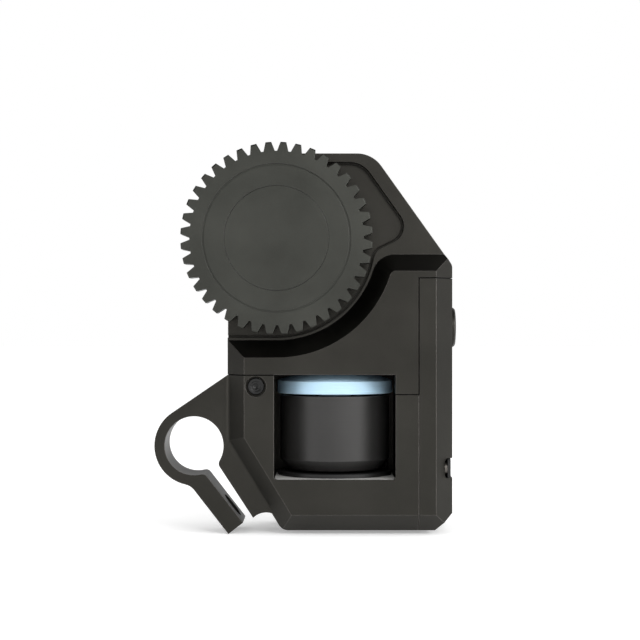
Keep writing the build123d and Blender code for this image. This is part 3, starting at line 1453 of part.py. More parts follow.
port_mouth = bay_right + port_shell_proud
port_back = port_mouth - port_shell_length
with BuildPart() as usb_shell:
    with BuildSketch(Plane.YZ.offset(port_back)):
        with Locations((port_depth - clamp_length / 2, port_height)):
            SlotOverall(port_shell_width, port_shell_height)
    extrude(amount=port_shell_length)
    with BuildSketch(Plane.YZ.offset(port_back + port_shell_wall)):
        with Locations((port_depth - clamp_length / 2, port_height)):
            SlotOverall(port_shell_width - 2 * port_shell_wall, port_shell_height - 2 * port_shell_wall)
    extrude(amount=port_shell_length, mode=Mode.SUBTRACT)
finish(usb_shell, "usb_shell")

with BuildPart() as usb_tongue:
    with BuildSketch(Plane.YZ.offset(port_back + port_shell_wall)):
        with Locations((port_depth - clamp_length / 2, port_height)):
            Rectangle(port_tongue_width, port_tongue_height)
    extrude(amount=port_shell_length - port_shell_wall - port_tongue_gap)
finish(usb_tongue, "usb_tongue")

# Driver board on its rails, with its chips
driver_board_top = driver_board_height + board_width
with BuildPart() as driver_board:
    with BuildSketch(Plane.XY.offset(driver_board_height)):
        with Locations((driver_board_left, driver_board_front - clamp_length / 2)):
            Rectangle(driver_board_width, driver_board_depth, align=(Align.MIN, Align.MIN))
    extrude(amount=board_width)
finish(driver_board, "driver_board")

with BuildPart() as driver_chips:
    with BuildSketch(Plane.XY.offset(driver_board_top)):
        with Locations((motor_x, motor_y)):
            Rectangle(chip_side, chip_side)
            with Locations((-3 * chip_width - chip_side, 0), (3 * chip_width + chip_side, 0)):
                Rectangle(chip_side / 2, chip_side)
    extrude(amount=chip_width)
finish(driver_chips, "driver_chips")
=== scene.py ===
from math import cos, pi, radians, sin

import bpy
from mathutils import Matrix, Vector


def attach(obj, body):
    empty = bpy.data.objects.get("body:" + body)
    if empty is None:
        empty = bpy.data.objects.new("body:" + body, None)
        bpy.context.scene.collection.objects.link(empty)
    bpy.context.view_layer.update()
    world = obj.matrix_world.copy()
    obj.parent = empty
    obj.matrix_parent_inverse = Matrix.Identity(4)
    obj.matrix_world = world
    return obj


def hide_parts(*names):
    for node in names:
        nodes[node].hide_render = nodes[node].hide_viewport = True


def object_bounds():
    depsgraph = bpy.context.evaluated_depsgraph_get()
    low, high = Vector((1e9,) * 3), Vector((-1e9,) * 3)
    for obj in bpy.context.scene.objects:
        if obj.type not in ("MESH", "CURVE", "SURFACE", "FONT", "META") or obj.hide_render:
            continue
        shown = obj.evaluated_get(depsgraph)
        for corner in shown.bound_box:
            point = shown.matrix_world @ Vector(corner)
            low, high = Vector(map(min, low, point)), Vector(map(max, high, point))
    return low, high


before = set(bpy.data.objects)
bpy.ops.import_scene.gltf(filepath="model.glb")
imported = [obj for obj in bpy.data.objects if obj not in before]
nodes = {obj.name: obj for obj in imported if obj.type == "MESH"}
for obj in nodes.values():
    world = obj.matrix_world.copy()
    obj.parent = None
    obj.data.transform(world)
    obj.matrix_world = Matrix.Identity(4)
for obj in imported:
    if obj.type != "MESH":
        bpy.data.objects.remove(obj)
cad_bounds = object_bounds()
bpy.ops.object.select_all(action="DESELECT")


# Housings and back cover. They are milled from aluminium, blasted with fine beads and dyed a warm dark grey. The
# upper housing carries the gear, the lower one the motor and the rod clamp, and the flat cover closes both.

def surface_group():
    """Metal surface: fine grain, a slow drift of tone, edges that are a little rounded, and an edge mask for a
    painted highlight.
    """
    group = bpy.data.node_groups.new("metal_surface", "ShaderNodeTree")
    socket = group.interface.new_socket
    socket("Grain", in_out="INPUT", socket_type="NodeSocketVector").default_value = (9000, 9000, 9000)
    for name, value in (("Grain Depth", 0.15), ("Edge Radius", 0.00015)):
        socket(name, in_out="INPUT", socket_type="NodeSocketFloat").default_value = value
    socket("Tone", in_out="OUTPUT", socket_type="NodeSocketFloat")
    socket("Edge", in_out="OUTPUT", socket_type="NodeSocketFloat")
    socket("Normal", in_out="OUTPUT", socket_type="NodeSocketVector")
    put, link = group.nodes.new, group.links.new
    given, result = put("NodeGroupInput"), put("NodeGroupOutput")
    place = put("ShaderNodeTexCoord")
    stretched = put("ShaderNodeVectorMath")
    stretched.operation = "MULTIPLY"
    grain = put("ShaderNodeTexNoise")
    grain.inputs["Scale"].default_value = 1
    grain.inputs["Detail"].default_value = 3
    grain.inputs["Roughness"].default_value = 0.6
    drift = put("ShaderNodeTexNoise")
    drift.inputs["Scale"].default_value = 60
    drift.inputs["Detail"].default_value = 4
    rounded = put("ShaderNodeBevel")
    rounded.samples = 4
    flat = put("ShaderNodeNewGeometry")
    turn = put("ShaderNodeVectorMath")
    turn.operation = "DOT_PRODUCT"
    highlight_edge_mask = put("ShaderNodeMapRange")
    highlight_edge_mask.inputs["From Min"].default_value = 0.995
    highlight_edge_mask.inputs["From Max"].default_value = 0.86
    mottle = put("ShaderNodeMath")
    mottle.operation = "MULTIPLY_ADD"
    mottle.inputs[1].default_value = 0.5
    tone = put("ShaderNodeMapRange")
    tone.inputs["From Min"].default_value = 0.55
    tone.inputs["From Max"].default_value = 0.95
    tone.inputs["To Min"].default_value = 0.88
    tone.inputs["To Max"].default_value = 1.12
    bump = put("ShaderNodeBump")
    bump.inputs["Distance"].default_value = 0.00003
    link(place.outputs["Object"], stretched.inputs[0])
    link(given.outputs["Grain"], stretched.inputs[1])
    link(stretched.outputs["Vector"], grain.inputs["Vector"])
    link(place.outputs["Object"], drift.inputs["Vector"])
    link(given.outputs["Edge Radius"], rounded.inputs["Radius"])
    link(rounded.outputs["Normal"], turn.inputs[0])
    link(flat.outputs["Normal"], turn.inputs[1])
    link(turn.outputs["Value"], highlight_edge_mask.inputs["Value"])
    link(grain.outputs["Fac"], mottle.inputs[0])
    link(drift.outputs["Fac"], mottle.inputs[2])
    link(mottle.outputs["Value"], tone.inputs["Value"])
    link(grain.outputs["Fac"], bump.inputs["Height"])
    link(given.outputs["Grain Depth"], bump.inputs["Strength"])
    link(rounded.outputs["Normal"], bump.inputs["Normal"])
    link(tone.outputs["Result"], result.inputs["Tone"])
    link(highlight_edge_mask.outputs["Result"], result.inputs["Edge"])
    link(bump.outputs["Normal"], result.inputs["Normal"])
    return group


metal_surface = surface_group()


def metal(name, colour, painted_edge_highlight, metallic, roughness, grain, grain_depth, edge_radius):
    """Metal finish with a drifting tone and a painted highlight along its edges."""
    material = bpy.data.materials.new(name)
    material.use_nodes = True
    put, link = material.node_tree.nodes.new, material.node_tree.links.new
    shader = material.node_tree.nodes["Principled BSDF"]
    shader.inputs["Metallic"].default_value = metallic
    surface = put("ShaderNodeGroup")
    surface.node_tree = metal_surface
    surface.inputs["Grain"].default_value = grain
    surface.inputs["Grain Depth"].default_value = grain_depth
    surface.inputs["Edge Radius"].default_value = edge_radius
    # Painted highlight: the edge mask mixes a lighter colour into the base colour along every edge.
    body = put("ShaderNodeMix")
    body.data_type = "RGBA"
    body.inputs["A"].default_value = (*colour, 1)
    body.inputs["B"].default_value = (*painted_edge_highlight, 1)
    toned = put("ShaderNodeVectorMath")
    toned.operation = "SCALE"
    rough = put("ShaderNodeMath")
    rough.operation = "MULTIPLY"
    rough.inputs[1].default_value = roughness
    link(surface.outputs["Edge"], body.inputs["Factor"])
    link(body.outputs["Result"], toned.inputs[0])
    link(surface.outputs["Tone"], toned.inputs["Scale"])
    link(toned.outputs["Vector"], shader.inputs["Base Color"])
    link(surface.outputs["Tone"], rough.inputs[0])
    link(rough.outputs["Value"], shader.inputs["Roughness"])
    link(surface.outputs["Normal"], shader.inputs["Normal"])
    return material


def finish_nodes(material, *names):
    """Gives solids of the frame their finish."""
    for name in names:
        nodes[name].data.materials.clear()
        nodes[name].data.materials.append(material)


BLASTED = (5500, 5500, 5500)
housing_metal = metal(
    "housing_metal", colour=(0.036, 0.0345, 0.0305), painted_edge_highlight=(0.17, 0.16, 0.15), metallic=1.0,
    roughness=0.42, grain=BLASTED, grain_depth=0.3, edge_radius=0.0002)


# Joints on the front, in metres: the axis across, the place on it, the axis along, the middle and half of the run
JOINTS = (("X", 0.056975, "Z", 0.028, 0.0147), ("Z", 0.018125, "X", 0.0145, 0.006),
          ("Z", 0.013225, "X", 0.054, 0.003), ("Z", 0.042625, "X", 0.0613, 0.0045))
JOINT_REACH = 0.00015
FRONT_DEPTH = -0.004


def joint_shade_group():
    """Mask of painted shade along the fine joints on the front, where the two housings meet."""
    group = bpy.data.node_groups.new("joint_painted_shade", "ShaderNodeTree")
    group.interface.new_socket("Joint", in_out="OUTPUT", socket_type="NodeSocketFloat")
    put, link = group.nodes.new, group.links.new
    place, parts = put("ShaderNodeTexCoord"), put("ShaderNodeSeparateXYZ")
    link(place.outputs["Object"], parts.inputs["Vector"])

    def step(operation, first, *others):
        """Math node on a socket, with sockets or numbers as its other inputs."""
        node = put("ShaderNodeMath")
        node.operation = operation
        link(first, node.inputs[0])
        for number, other in enumerate(others, 1):
            if isinstance(other, float):
                node.inputs[number].default_value = other
            else:
                link(other, node.inputs[number])
        return node.outputs["Value"]

    lines = None
    for across, place_across, along, middle, half_run in JOINTS:
        line = step("MULTIPLY", step("COMPARE", parts.outputs[across], place_across, JOINT_REACH),
                    step("COMPARE", parts.outputs[along], middle, half_run))
        lines = line if lines is None else step("MAXIMUM", lines, line)
    joint_shade = step("MULTIPLY", lines, step("LESS_THAN", parts.outputs["Y"], FRONT_DEPTH))
    link(joint_shade, put("NodeGroupOutput").inputs["Joint"])
    return group


put, link = housing_metal.node_tree.nodes.new, housing_metal.node_tree.links.new
shader = housing_metal.node_tree.nodes["Principled BSDF"]
joint_shade = put("ShaderNodeGroup")
joint_shade.node_tree = joint_shade_group()
# Painted shade: along the joints the base colour is mixed to near black, standing in for the shade inside the
# gaps.
painted_joint_shade = put("ShaderNodeMix")
painted_joint_shade.data_type = "RGBA"
painted_joint_shade.inputs["B"].default_value = (0.004, 0.004, 0.004, 1)
link(shader.inputs["Base Color"].links[0].from_socket, painted_joint_shade.inputs["A"])
link(joint_shade.outputs["Joint"], painted_joint_shade.inputs["Factor"])
link(painted_joint_shade.outputs["Result"], shader.inputs["Base Color"])
finish_nodes(housing_metal, "lower_housing", "upper_housing", "back_cover")


# Ball bearings of the gearbox and the motor. Hardened steel rings with pressed shields, pushed into their seats: a
# 12 by 6 mm and a 10 by 6 mm one on the output shaft, and 6 by 3 mm ones on both layshafts and the motor.

def turned(name, section, centre=(0, 0, 0), along="Z", steps=96):
    """Solid turned about an axis, from a closed section of radius and place along it, in millimetres."""
    bpy.ops.object.select_all(action="DESELECT")
    bpy.ops.mesh.primitive_plane_add(size=0.001)
    piece = bpy.context.object
    piece.name = name
    axis = {"X": Vector((1, 0, 0)), "Y": Vector((0, 1, 0)), "Z": Vector((0, 0, 1))}[along]
    out = Vector((0, 1, 0)) if along == "X" else Vector((1, 0, 0))
    bpy.ops.object.mode_set(mode="EDIT")
    bpy.ops.mesh.merge(type="CENTER")
    spot = Vector((0, 0, 0))
    for number, (radius, place) in enumerate(section + section[:1]):
        target = (out * radius + axis * place) / 1000
        if number == 0:
            bpy.ops.transform.translate(value=target - spot)
        else:
            bpy.ops.mesh.extrude_region_move(TRANSFORM_OT_translate={"value": target - spot})
        spot = target
    bpy.ops.mesh.select_all(action="SELECT")
    bpy.ops.mesh.spin(steps=steps, angle=2 * pi, center=(0, 0, 0), axis=axis)
    bpy.ops.mesh.select_all(action="SELECT")
    bpy.ops.mesh.remove_doubles(threshold=0.000002)
    bpy.ops.mesh.delete_loose()
    bpy.ops.mesh.select_all(action="SELECT")
    bpy.ops.mesh.normals_make_consistent(inside=False)
    bpy.ops.transform.translate(value=Vector(centre) / 1000)
    bpy.ops.object.mode_set(mode="OBJECT")
    bpy.ops.object.shade_smooth_by_angle(angle=radians(20))
    return piece


def fit(piece, material, slot, body, *stands_for):
    """Gives a piece its material, the body it rides on and the solids it stands for; the slot is not used."""
    piece.data.materials.clear()
    piece.data.materials.append(material)
    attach(piece, body)
    if stands_for:
        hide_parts(*stands_for)


def joined(name, pieces):
    """Joins pieces into one."""
    bpy.ops.object.select_all(action="DESELECT")
    for piece in pieces:
        piece.select_set(True)
    bpy.context.view_layer.objects.active = pieces[0]
    if len(pieces) > 1:
        bpy.ops.object.join()
    pieces[0].name = name
    return pieces[0]


def repeated(name, piece, moves):
    """Copies a piece to each move, each copy with its own mesh, and joins the copies."""
    copies = []
    for move in moves:
        copy = piece.copy()
        copy.data = piece.data.copy()
        copy.data.transform(move)
        bpy.context.collection.objects.link(copy)
        copies.append(copy)
    bpy.data.objects.remove(piece)
    return joined(name, copies)


def ball_bearing(name, outer, bore, width):
    """Bearing along Y from zero, a hair free of its seats, with a shield set back in both faces."""
    outer, bore = outer - 0.01, bore + 0.03
    race, back, soft = (outer - bore) * 0.22, width * 0.06, 0.15
    half = [(bore, width / 2), (bore, soft), (bore + soft, 0), (bore + race, 0), (bore + race, back),
            (bore + 1.5 * race, back / 2), (outer - 1.5 * race, back / 2), (outer - race - 0.1, back),
            (outer - race - 0.1, 0), (outer - soft, 0), (outer, soft), (outer, width / 2)]
    mirrored = [(radius, width - place) for radius, place in reversed(half[1:-1])]
    return turned(name, half + mirrored, along="Y")


GROUND = (300, 9000, 300)
bearing_steel = metal(
    "bearing_steel", colour=(0.62, 0.62, 0.63), painted_edge_highlight=(0.8, 0.8, 0.8), metallic=1.0,
    roughness=0.22, grain=GROUND, grain_depth=0.05, edge_radius=0.0001)
OUTPUT_SHAFT, BEVEL_SHAFT, IDLER_SHAFT = (21.2, 52.5), (35.9, 35.5), (33.9137, 47.8716)
MOTOR = (35.9, 4.1)
OUTPUT_SEAT, LAYSHAFT_SEAT, PLATE_SEAT = -5.2, -3.2, 13.9
LOWER_MOTOR_SEAT, UPPER_MOTOR_SEAT = -3.0, 18.1


def mm(x, y, z):
    """Move to a place in millimetres."""
    return Matrix.Translation(Vector((x, y, z)) / 1000)


front_bearing = repeated("front_ball_bearing", ball_bearing("bearing", outer=6, bore=3, width=4),
                         [mm(OUTPUT_SHAFT[0], OUTPUT_SEAT, OUTPUT_SHAFT[1])])
fit(front_bearing, bearing_steel, "bearing_steel", "housing", "output_front_bearing")
rear_bearing = repeated("rear_ball_bearing", ball_bearing("bearing", outer=5, bore=3, width=2.5),
                        [mm(OUTPUT_SHAFT[0], PLATE_SEAT, OUTPUT_SHAFT[1])])
fit(rear_bearing, bearing_steel, "bearing_steel", "housing", "output_rear_bearing")
layshaft_rings = repeated("layshaft_ball_bearings", ball_bearing("bearing", outer=3, bore=1.5, width=2.5),
                          [mm(x, y, z) for x, z in (BEVEL_SHAFT, IDLER_SHAFT)
                           for y in (LAYSHAFT_SEAT, PLATE_SEAT)])
fit(layshaft_rings, bearing_steel, "bearing_steel", "housing", "layshaft_bearings")
motor_rings = repeated("motor_ball_bearings", ball_bearing("bearing", outer=3, bore=1.5, width=2.5),
                       [mm(*MOTOR, z) @ Matrix.Rotation(pi / 2, 4, "X")
                        for z in (LOWER_MOTOR_SEAT, UPPER_MOTOR_SEAT)])
fit(motor_rings, bearing_steel, "bearing_steel", "housing", "motor_bearings")


# Gearbox. Cut brass wheels on ground steel shafts, and a milled plate that holds the rear bearings. The bevel pair
# turns the drive by a right angle, and two spur pairs bring it to the output shaft.

plate_metal = metal(
    "plate_metal", colour=(0.55, 0.55, 0.56), painted_edge_highlight=(0.75, 0.75, 0.75), metallic=1.0,
    roughness=0.32, grain=(500, 500, 6000), grain_depth=0.12, edge_radius=0.0001)
finish_nodes(plate_metal, "gearbox_plate")
gear_brass = metal(
    "gear_brass", colour=(0.70, 0.49, 0.18), painted_edge_highlight=(0.86, 0.66, 0.32), metallic=1.0,
    roughness=0.28, grain=GROUND, grain_depth=0.1, edge_radius=0.00006)
finish_nodes(gear_brass, "bevel_gear", "idler_gear", "idler_pinion", "drive_gear")
shaft_steel = metal(
    "shaft_steel", colour=(0.50, 0.50, 0.51), painted_edge_highlight=(0.72, 0.72, 0.72), metallic=1.0,
    roughness=0.25, grain=GROUND, grain_depth=0.08, edge_radius=0.00008)
finish_nodes(shaft_steel, "bevel_shaft", "idler_shaft", "output_shaft", "first_pinion")
standing_steel = metal(
    "standing_steel", colour=(0.50, 0.50, 0.51), painted_edge_highlight=(0.72, 0.72, 0.72), metallic=1.0,
    roughness=0.25, grain=(300, 300, 9000), grain_depth=0.08, edge_radius=0.00008)
finish_nodes(standing_steel, "motor_shaft", "bevel_pinion", "shaft_clip")


# Stator base. Turned from aluminium and anodised light blue: a band with crisp edges shows in the window, a
# shallow cone rises from it, and the hub above sits under the gearbox floor on four screws.

def cut(piece, cutter):
    """Takes a cutter's shape out of a piece."""
    bpy.ops.object.select_all(action="DESELECT")
    piece.select_set(True)
    bpy.context.view_layer.objects.active = piece
    taking = piece.modifiers.new("cut", "BOOLEAN")
    taking.operation, taking.solver, taking.object = "DIFFERENCE", "EXACT", cutter
    bpy.ops.object.modifier_apply(modifier=taking.name)
    bpy.data.objects.remove(cutter)
    bpy.ops.object.mode_set(mode="EDIT")
    bpy.ops.mesh.select_all(action="SELECT")
    bpy.ops.mesh.remove_doubles(threshold=0.000001)
    bpy.ops.object.mode_set(mode="OBJECT")
    bpy.ops.object.shade_smooth_by_angle(angle=radians(20))


def drills(radius, low, high, places, centre):
    """Upright drills with closed ends at places around a centre, all in one."""
    drill = turned("drill", [(0, low), (radius, low), (radius, high), (0, high)], steps=24)
    return repeated("drills", drill, [mm(centre[0] + x, centre[1] + y, 0) for x, y in places])


def around(radius, first, count):
    """Evenly spaced places on a circle from a first angle in degrees, in millimetres."""
    angles = [radians(first + 360 // count * k) for k in range(count)]
    return [(radius * cos(angle), radius * sin(angle)) for angle in angles]


stem = [(4.2, -3.0), (4.2, 14.5)]
band = [(13.4, 14.5), (13.4, 13.25), (13.55, 13.1), (14.75, 13.1), (15.0, 13.3), (15.0, 16.3), (14.75, 16.5)]
hub = [(9.2, 18.45), (9.0, 18.65), (9.0, 20.45), (8.85, 20.6)]
bearing_bore = [(3.15, 20.6), (3.0, 20.45), (3.0, 18.1), (2.5, 18.1), (2.5, -0.5), (3.0, -0.5), (3.0, -2.85),
                (3.15, -3.0)]
base_ring = turned("blue_base", stem + band + hub + bearing_bore, (*MOTOR, 0), steps=144)
corners = around(7, first=45, count=4)
cut(base_ring, drills(radius=1.28, low=15.4, high=21, places=corners, centre=MOTOR))
BAND_RADIUS, NOTCH_HEIGHT = 15, 13.45
NOTCH_SIZE = (0.0037, 0.0044, 0.002)
bpy.ops.mesh.primitive_cube_add(size=1)
notch = bpy.context.object
notch.data.transform(mm(*MOTOR, NOTCH_HEIGHT) @ Matrix.Rotation(radians(45), 4, "Z") @ mm(BAND_RADIUS, 0, 0)
                     @ Matrix.Diagonal((*NOTCH_SIZE, 1)))
cut(base_ring, notch)
# Painted highlight: the near-white edge colour brightens the band's rims.
blue_metal = metal(
    "blue_metal", colour=(0.44, 0.64, 0.79), painted_edge_highlight=(0.74, 0.90, 0.97), metallic=0.0,
    roughness=0.6, grain=(200, 200, 7000), grain_depth=0.1, edge_radius=0.00016)
fit(base_ring, blue_metal, "blue_anodised", "housing", "stator_base")


# Stator and windings. Stacked sheets with a dark epoxy coat carry twelve arms, and each arm is wound in three
# layers of enamelled copper wire, with the outer layer only where two neighbours leave room.

stator_sheets = metal(
    "stator_sheets", colour=(0.05, 0.09, 0.07), painted_edge_highlight=(0.3, 0.3, 0.3), metallic=0.4,
    roughness=0.4, grain=(100, 100, 9000), grain_depth=0.4, edge_radius=0.00006)
finish_nodes(stator_sheets, "stator_core")
INNER_TURN, LAYER_STEP = 1.03, 0.35
FIRST_TURN, TURN_PITCH, TURN_COUNT = 6.66, 0.36, 9
WIRE_RADIUS, HALF_ARM = 0.00017, 0.0036
turns = []
for layer, first in ((0, 0), (1, 0), (2, 3)):
    for number in range(first, TURN_COUNT):
        bpy.ops.object.select_all(action="DESELECT")
        bpy.ops.mesh.primitive_torus_add(
            major_segments=16, minor_segments=5, minor_radius=WIRE_RADIUS,
            major_radius=(INNER_TURN + LAYER_STEP * layer) / 1000, rotation=(0, pi / 2, 0))
        turn = bpy.context.object
        bpy.ops.object.transform_apply(location=True, rotation=True, scale=True)
        bpy.ops.object.mode_set(mode="EDIT")
        bpy.ops.mesh.select_all(action="DESELECT")
        bpy.ops.object.mode_set(mode="OBJECT")
        for point in turn.data.vertices:
            point.select = point.co.z > 0.00001
        bpy.ops.object.mode_set(mode="EDIT")
        bpy.ops.transform.translate(value=(0, 0, HALF_ARM))
        bpy.ops.mesh.select_all(action="INVERT")
        bpy.ops.transform.translate(value=(0, 0, -HALF_ARM))
        bpy.ops.object.mode_set(mode="OBJECT")
        turn.data.transform(mm(FIRST_TURN + TURN_PITCH * number, 0, 0))
        turns.append(turn)
coil = joined("coil", turns)
bpy.ops.object.shade_smooth()
ARM_COUNT, ARM_HEIGHT = 12, 3.0
coils = repeated("copper_coils", coil,
                 [mm(*MOTOR, ARM_HEIGHT) @ Matrix.Rotation(radians(360 // ARM_COUNT * k), 4, "Z")
                  for k in range(ARM_COUNT)])
copper = metal(
    "copper", colour=(0.62, 0.22, 0.08), painted_edge_highlight=(0.75, 0.32, 0.14), metallic=0.9,
    roughness=0.25, grain=(2500, 2500, 2500), grain_depth=0.05, edge_radius=0.00003)
fit(coils, copper, "copper", "housing", "windings")


# Rotor. A turned steel can in satin black, chamfered at its foot, with magnets glued inside its wall. It turns
# with the motor shaft, and a small magnet in its floor is read by the chip on the board below.

can_wall = [(13.0, 12.45), (13.15, 12.6), (14.05, 12.6), (14.2, 12.45), (14.2, -3.8), (14.12, -3.98)]
can_floor = [(11.78, -6.52), (11.6, -6.6), (2.01, -6.6), (2.01, -5.64), (1.51, -5.64), (1.51, -3.4),
             (3.0, -3.4), (3.0, -4.6), (11.35, -4.6), (13.0, -2.9)]
can = turned("motor_can", can_wall + can_floor, (*MOTOR, 0), steps=144)
cut(can, drills(radius=1.6, low=-7, high=-4.2, places=around(8, first=0, count=6), centre=MOTOR))
can_black = metal(
    "can_black", colour=(0.030, 0.029, 0.028), painted_edge_highlight=(0.12, 0.12, 0.115), metallic=0.3,
    roughness=0.5, grain=(60, 60, 5000), grain_depth=0.1, edge_radius=0.00012)
fit(can, can_black, "black_can", "rotor", "rotor_can")
nickel = metal(
    "nickel", colour=(0.46, 0.45, 0.42), painted_edge_highlight=(0.7, 0.69, 0.66), metallic=1.0,
    roughness=0.2, grain=(4000, 4000, 4000), grain_depth=0.05, edge_radius=0.0001)
finish_nodes(nickel, "rotor_magnets", "encoder_magnet")


# Floor of the window. A thin plate of bare aluminium lies on the sill; its pale, mostly diffuse colour is partly
# painted reflection, for the glints at the floor's corners. The round black encoder board with its raised rim lies
# on the plate, under the can.

def slab(name, width, depth, corner, thickness):
    """Slab on zero with rounded corners, in millimetres."""
    bpy.ops.object.select_all(action="DESELECT")
    bpy.ops.mesh.primitive_plane_add(size=1)
    piece = bpy.context.object
    piece.name = name
    piece.data.transform(Matrix.Diagonal((width / 1000, depth / 1000, 1, 1)))
    bpy.ops.object.mode_set(mode="EDIT")
    bpy.ops.mesh.select_all(action="SELECT")
    bpy.ops.mesh.bevel(offset=corner / 1000, segments=6, affect="VERTICES")
    bpy.ops.mesh.select_all(action="SELECT")
    bpy.ops.mesh.extrude_region_move(TRANSFORM_OT_translate={"value": (0, 0, thickness / 1000)})
    bpy.ops.mesh.select_all(action="SELECT")
    bpy.ops.mesh.normals_make_consistent(inside=False)
    bpy.ops.object.mode_set(mode="OBJECT")
    return piece


WINDOW_SILL = (35.78, -0.7, -8.19)
shim = slab("window_shim", width=30.4, depth=21.4, corner=0.8, thickness=0.08)
shim.data.transform(mm(*WINDOW_SILL))
# Painted reflection: the plate's pale colour stands in for glints on the window floor.
bare_metal_painted_glint = metal(
    "bare_metal_painted_glint", colour=(0.62, 0.61, 0.59), painted_edge_highlight=(0.9, 0.9, 0.9), metallic=0.3,
    roughness=0.5, grain=(600, 9000, 600), grain_depth=0.1, edge_radius=0.0001)
fit(shim, bare_metal_painted_glint, "plate_metal", "housing")

disc_rim = [(14.8, -8.1), (14.8, -7.2), (14.7, -7.1), (12.9, -7.1), (12.75, -7.25)]
board_disc = turned("encoder_disc", [(0, -8.1)] + disc_rim + [(0, -7.25)], (*MOTOR, 0), steps=144)
SENSOR_HEIGHT, SENSOR_SIZE = -7.1, (0.003, 0.003, 0.0004)
bpy.ops.mesh.primitive_cube_add(size=1)
sensor = bpy.context.object
sensor.data.transform(mm(*MOTOR, SENSOR_HEIGHT) @ Matrix.Diagonal((*SENSOR_SIZE, 1)))
bpy.ops.object.mode_set(mode="EDIT")
bpy.ops.mesh.select_all(action="SELECT")
bpy.ops.mesh.bevel(offset=0.00005, segments=1)
bpy.ops.object.mode_set(mode="OBJECT")
encoder = joined("encoder_disc", [board_disc, sensor])
board_black = metal(
    "board_black", colour=(0.004, 0.004, 0.004), painted_edge_highlight=(0.012, 0.012, 0.012), metallic=0.0,
    roughness=0.6, grain=(2500, 2500, 2500), grain_depth=0.1, edge_radius=0.0001)
fit(encoder, board_black, "board_black", "housing", "encoder_board")


# Front gear and its cap. Milled from aluminium in one piece with its forty teeth, blasted and dyed dark grey,
# with a fine turned groove on its face. The round cap is pressed flush into the middle and hides the three screws.

gear_metal = metal(
    "gear_metal", colour=(0.054, 0.055, 0.049), painted_edge_highlight=(0.09, 0.09, 0.085), metallic=1.0,
    roughness=0.42, grain=BLASTED, grain_depth=0.35, edge_radius=0.0001)
finish_nodes(gear_metal, "output_gear", "gear_cap")


# Boards and chips. Green boards with copper tracks under the mask, moulded chips with bent tin legs, a switch
# behind the button, and small ceramic parts between them.

def board_group():
    """Tracks and round pads of a printed board, as masks."""
    group = bpy.data.node_groups.new("board_tracks", "ShaderNodeTree")
    socket = group.interface.new_socket
    socket("Tracks", in_out="OUTPUT", socket_type="NodeSocketFloat")
    socket("Pads", in_out="OUTPUT", socket_type="NodeSocketFloat")
    put, link = group.nodes.new, group.links.new
    result, place = put("NodeGroupOutput"), put("ShaderNodeTexCoord")
    grid = put("ShaderNodeTexVoronoi")
    grid.distance = "CHEBYCHEV"
    grid.feature = "F1"
    grid.inputs["Scale"].default_value = 420
    line = put("ShaderNodeTexWave")
    line.inputs["Scale"].default_value = 260
    line.inputs["Distortion"].default_value = 6
    line.inputs["Detail Scale"].default_value = 1.5
    tracks = put("ShaderNodeMapRange")
    tracks.inputs["From Min"].default_value = 0.72
    tracks.inputs["From Max"].default_value = 0.78
    pads = put("ShaderNodeMapRange")
    pads.inputs["From Min"].default_value = 0.11
    pads.inputs["From Max"].default_value = 0.09
    link(place.outputs["Object"], grid.inputs["Vector"])
    link(place.outputs["Object"], line.inputs["Vector"])
    link(line.outputs["Fac"], tracks.inputs["Value"])
    link(grid.outputs["Distance"], pads.inputs["Value"])
    link(tracks.outputs["Result"], result.inputs["Tracks"])
    link(pads.outputs["Result"], result.inputs["Pads"])
    return group


board_green = bpy.data.materials.new("board_green")
board_green.use_nodes = True
put, link = board_green.node_tree.nodes.new, board_green.node_tree.links.new
shader = board_green.node_tree.nodes["Principled BSDF"]
shader.inputs["Coat Weight"].default_value = 0.4
pattern = put("ShaderNodeGroup")
pattern.node_tree = board_group()
mask = put("ShaderNodeMix")
mask.data_type = "RGBA"
mask.inputs["A"].default_value = (0.012, 0.075, 0.03, 1)
mask.inputs["B"].default_value = (0.03, 0.16, 0.06, 1)
tinned = put("ShaderNodeMix")
tinned.data_type = "RGBA"
tinned.inputs["B"].default_value = (0.75, 0.62, 0.35, 1)
rough = put("ShaderNodeMapRange")
rough.inputs["To Min"].default_value = 0.42
rough.inputs["To Max"].default_value = 0.25
link(pattern.outputs["Tracks"], mask.inputs["Factor"])
link(mask.outputs["Result"], tinned.inputs["A"])
link(pattern.outputs["Pads"], tinned.inputs["Factor"])
link(tinned.outputs["Result"], shader.inputs["Base Color"])
link(pattern.outputs["Pads"], shader.inputs["Metallic"])
link(pattern.outputs["Tracks"], rough.inputs["Value"])
link(rough.outputs["Result"], shader.inputs["Roughness"])
finish_nodes(board_green, "main_board", "port_board", "driver_board")


def block(width, depth, height, soft):
    """Block on zero with softened edges, in millimetres."""
    bpy.ops.object.select_all(action="DESELECT")
    bpy.ops.mesh.primitive_cube_add(size=1)
    piece = bpy.context.object
    piece.data.transform(mm(0, 0, height / 2)
                         @ Matrix.Diagonal((width / 1000, depth / 1000, height / 1000, 1)))
    bpy.ops.object.mode_set(mode="EDIT")
    bpy.ops.mesh.select_all(action="SELECT")
    bpy.ops.mesh.bevel(offset=soft / 1000, segments=2)
    bpy.ops.object.mode_set(mode="OBJECT")
    return piece


def chip_bodies(name, width, depth, height, moves):
    """Moulded bodies that stand a little off the board, with a sunk dot at one corner."""
    stand, dot_radius, dot_inset = 0.1, 0.25, 0.7
    body = block(width, depth, height - stand, 0.12)
    body.data.transform(mm(0, 0, stand))
    low, high = height - 0.05, height + 0.2
    dot = turned("dot", [(0, low), (dot_radius, low), (dot_radius, high), (0, high)],
                 (-width / 2 + dot_inset, depth / 2 - dot_inset, 0), steps=16)
    cut(body, dot)
    return repeated(name, body, moves)


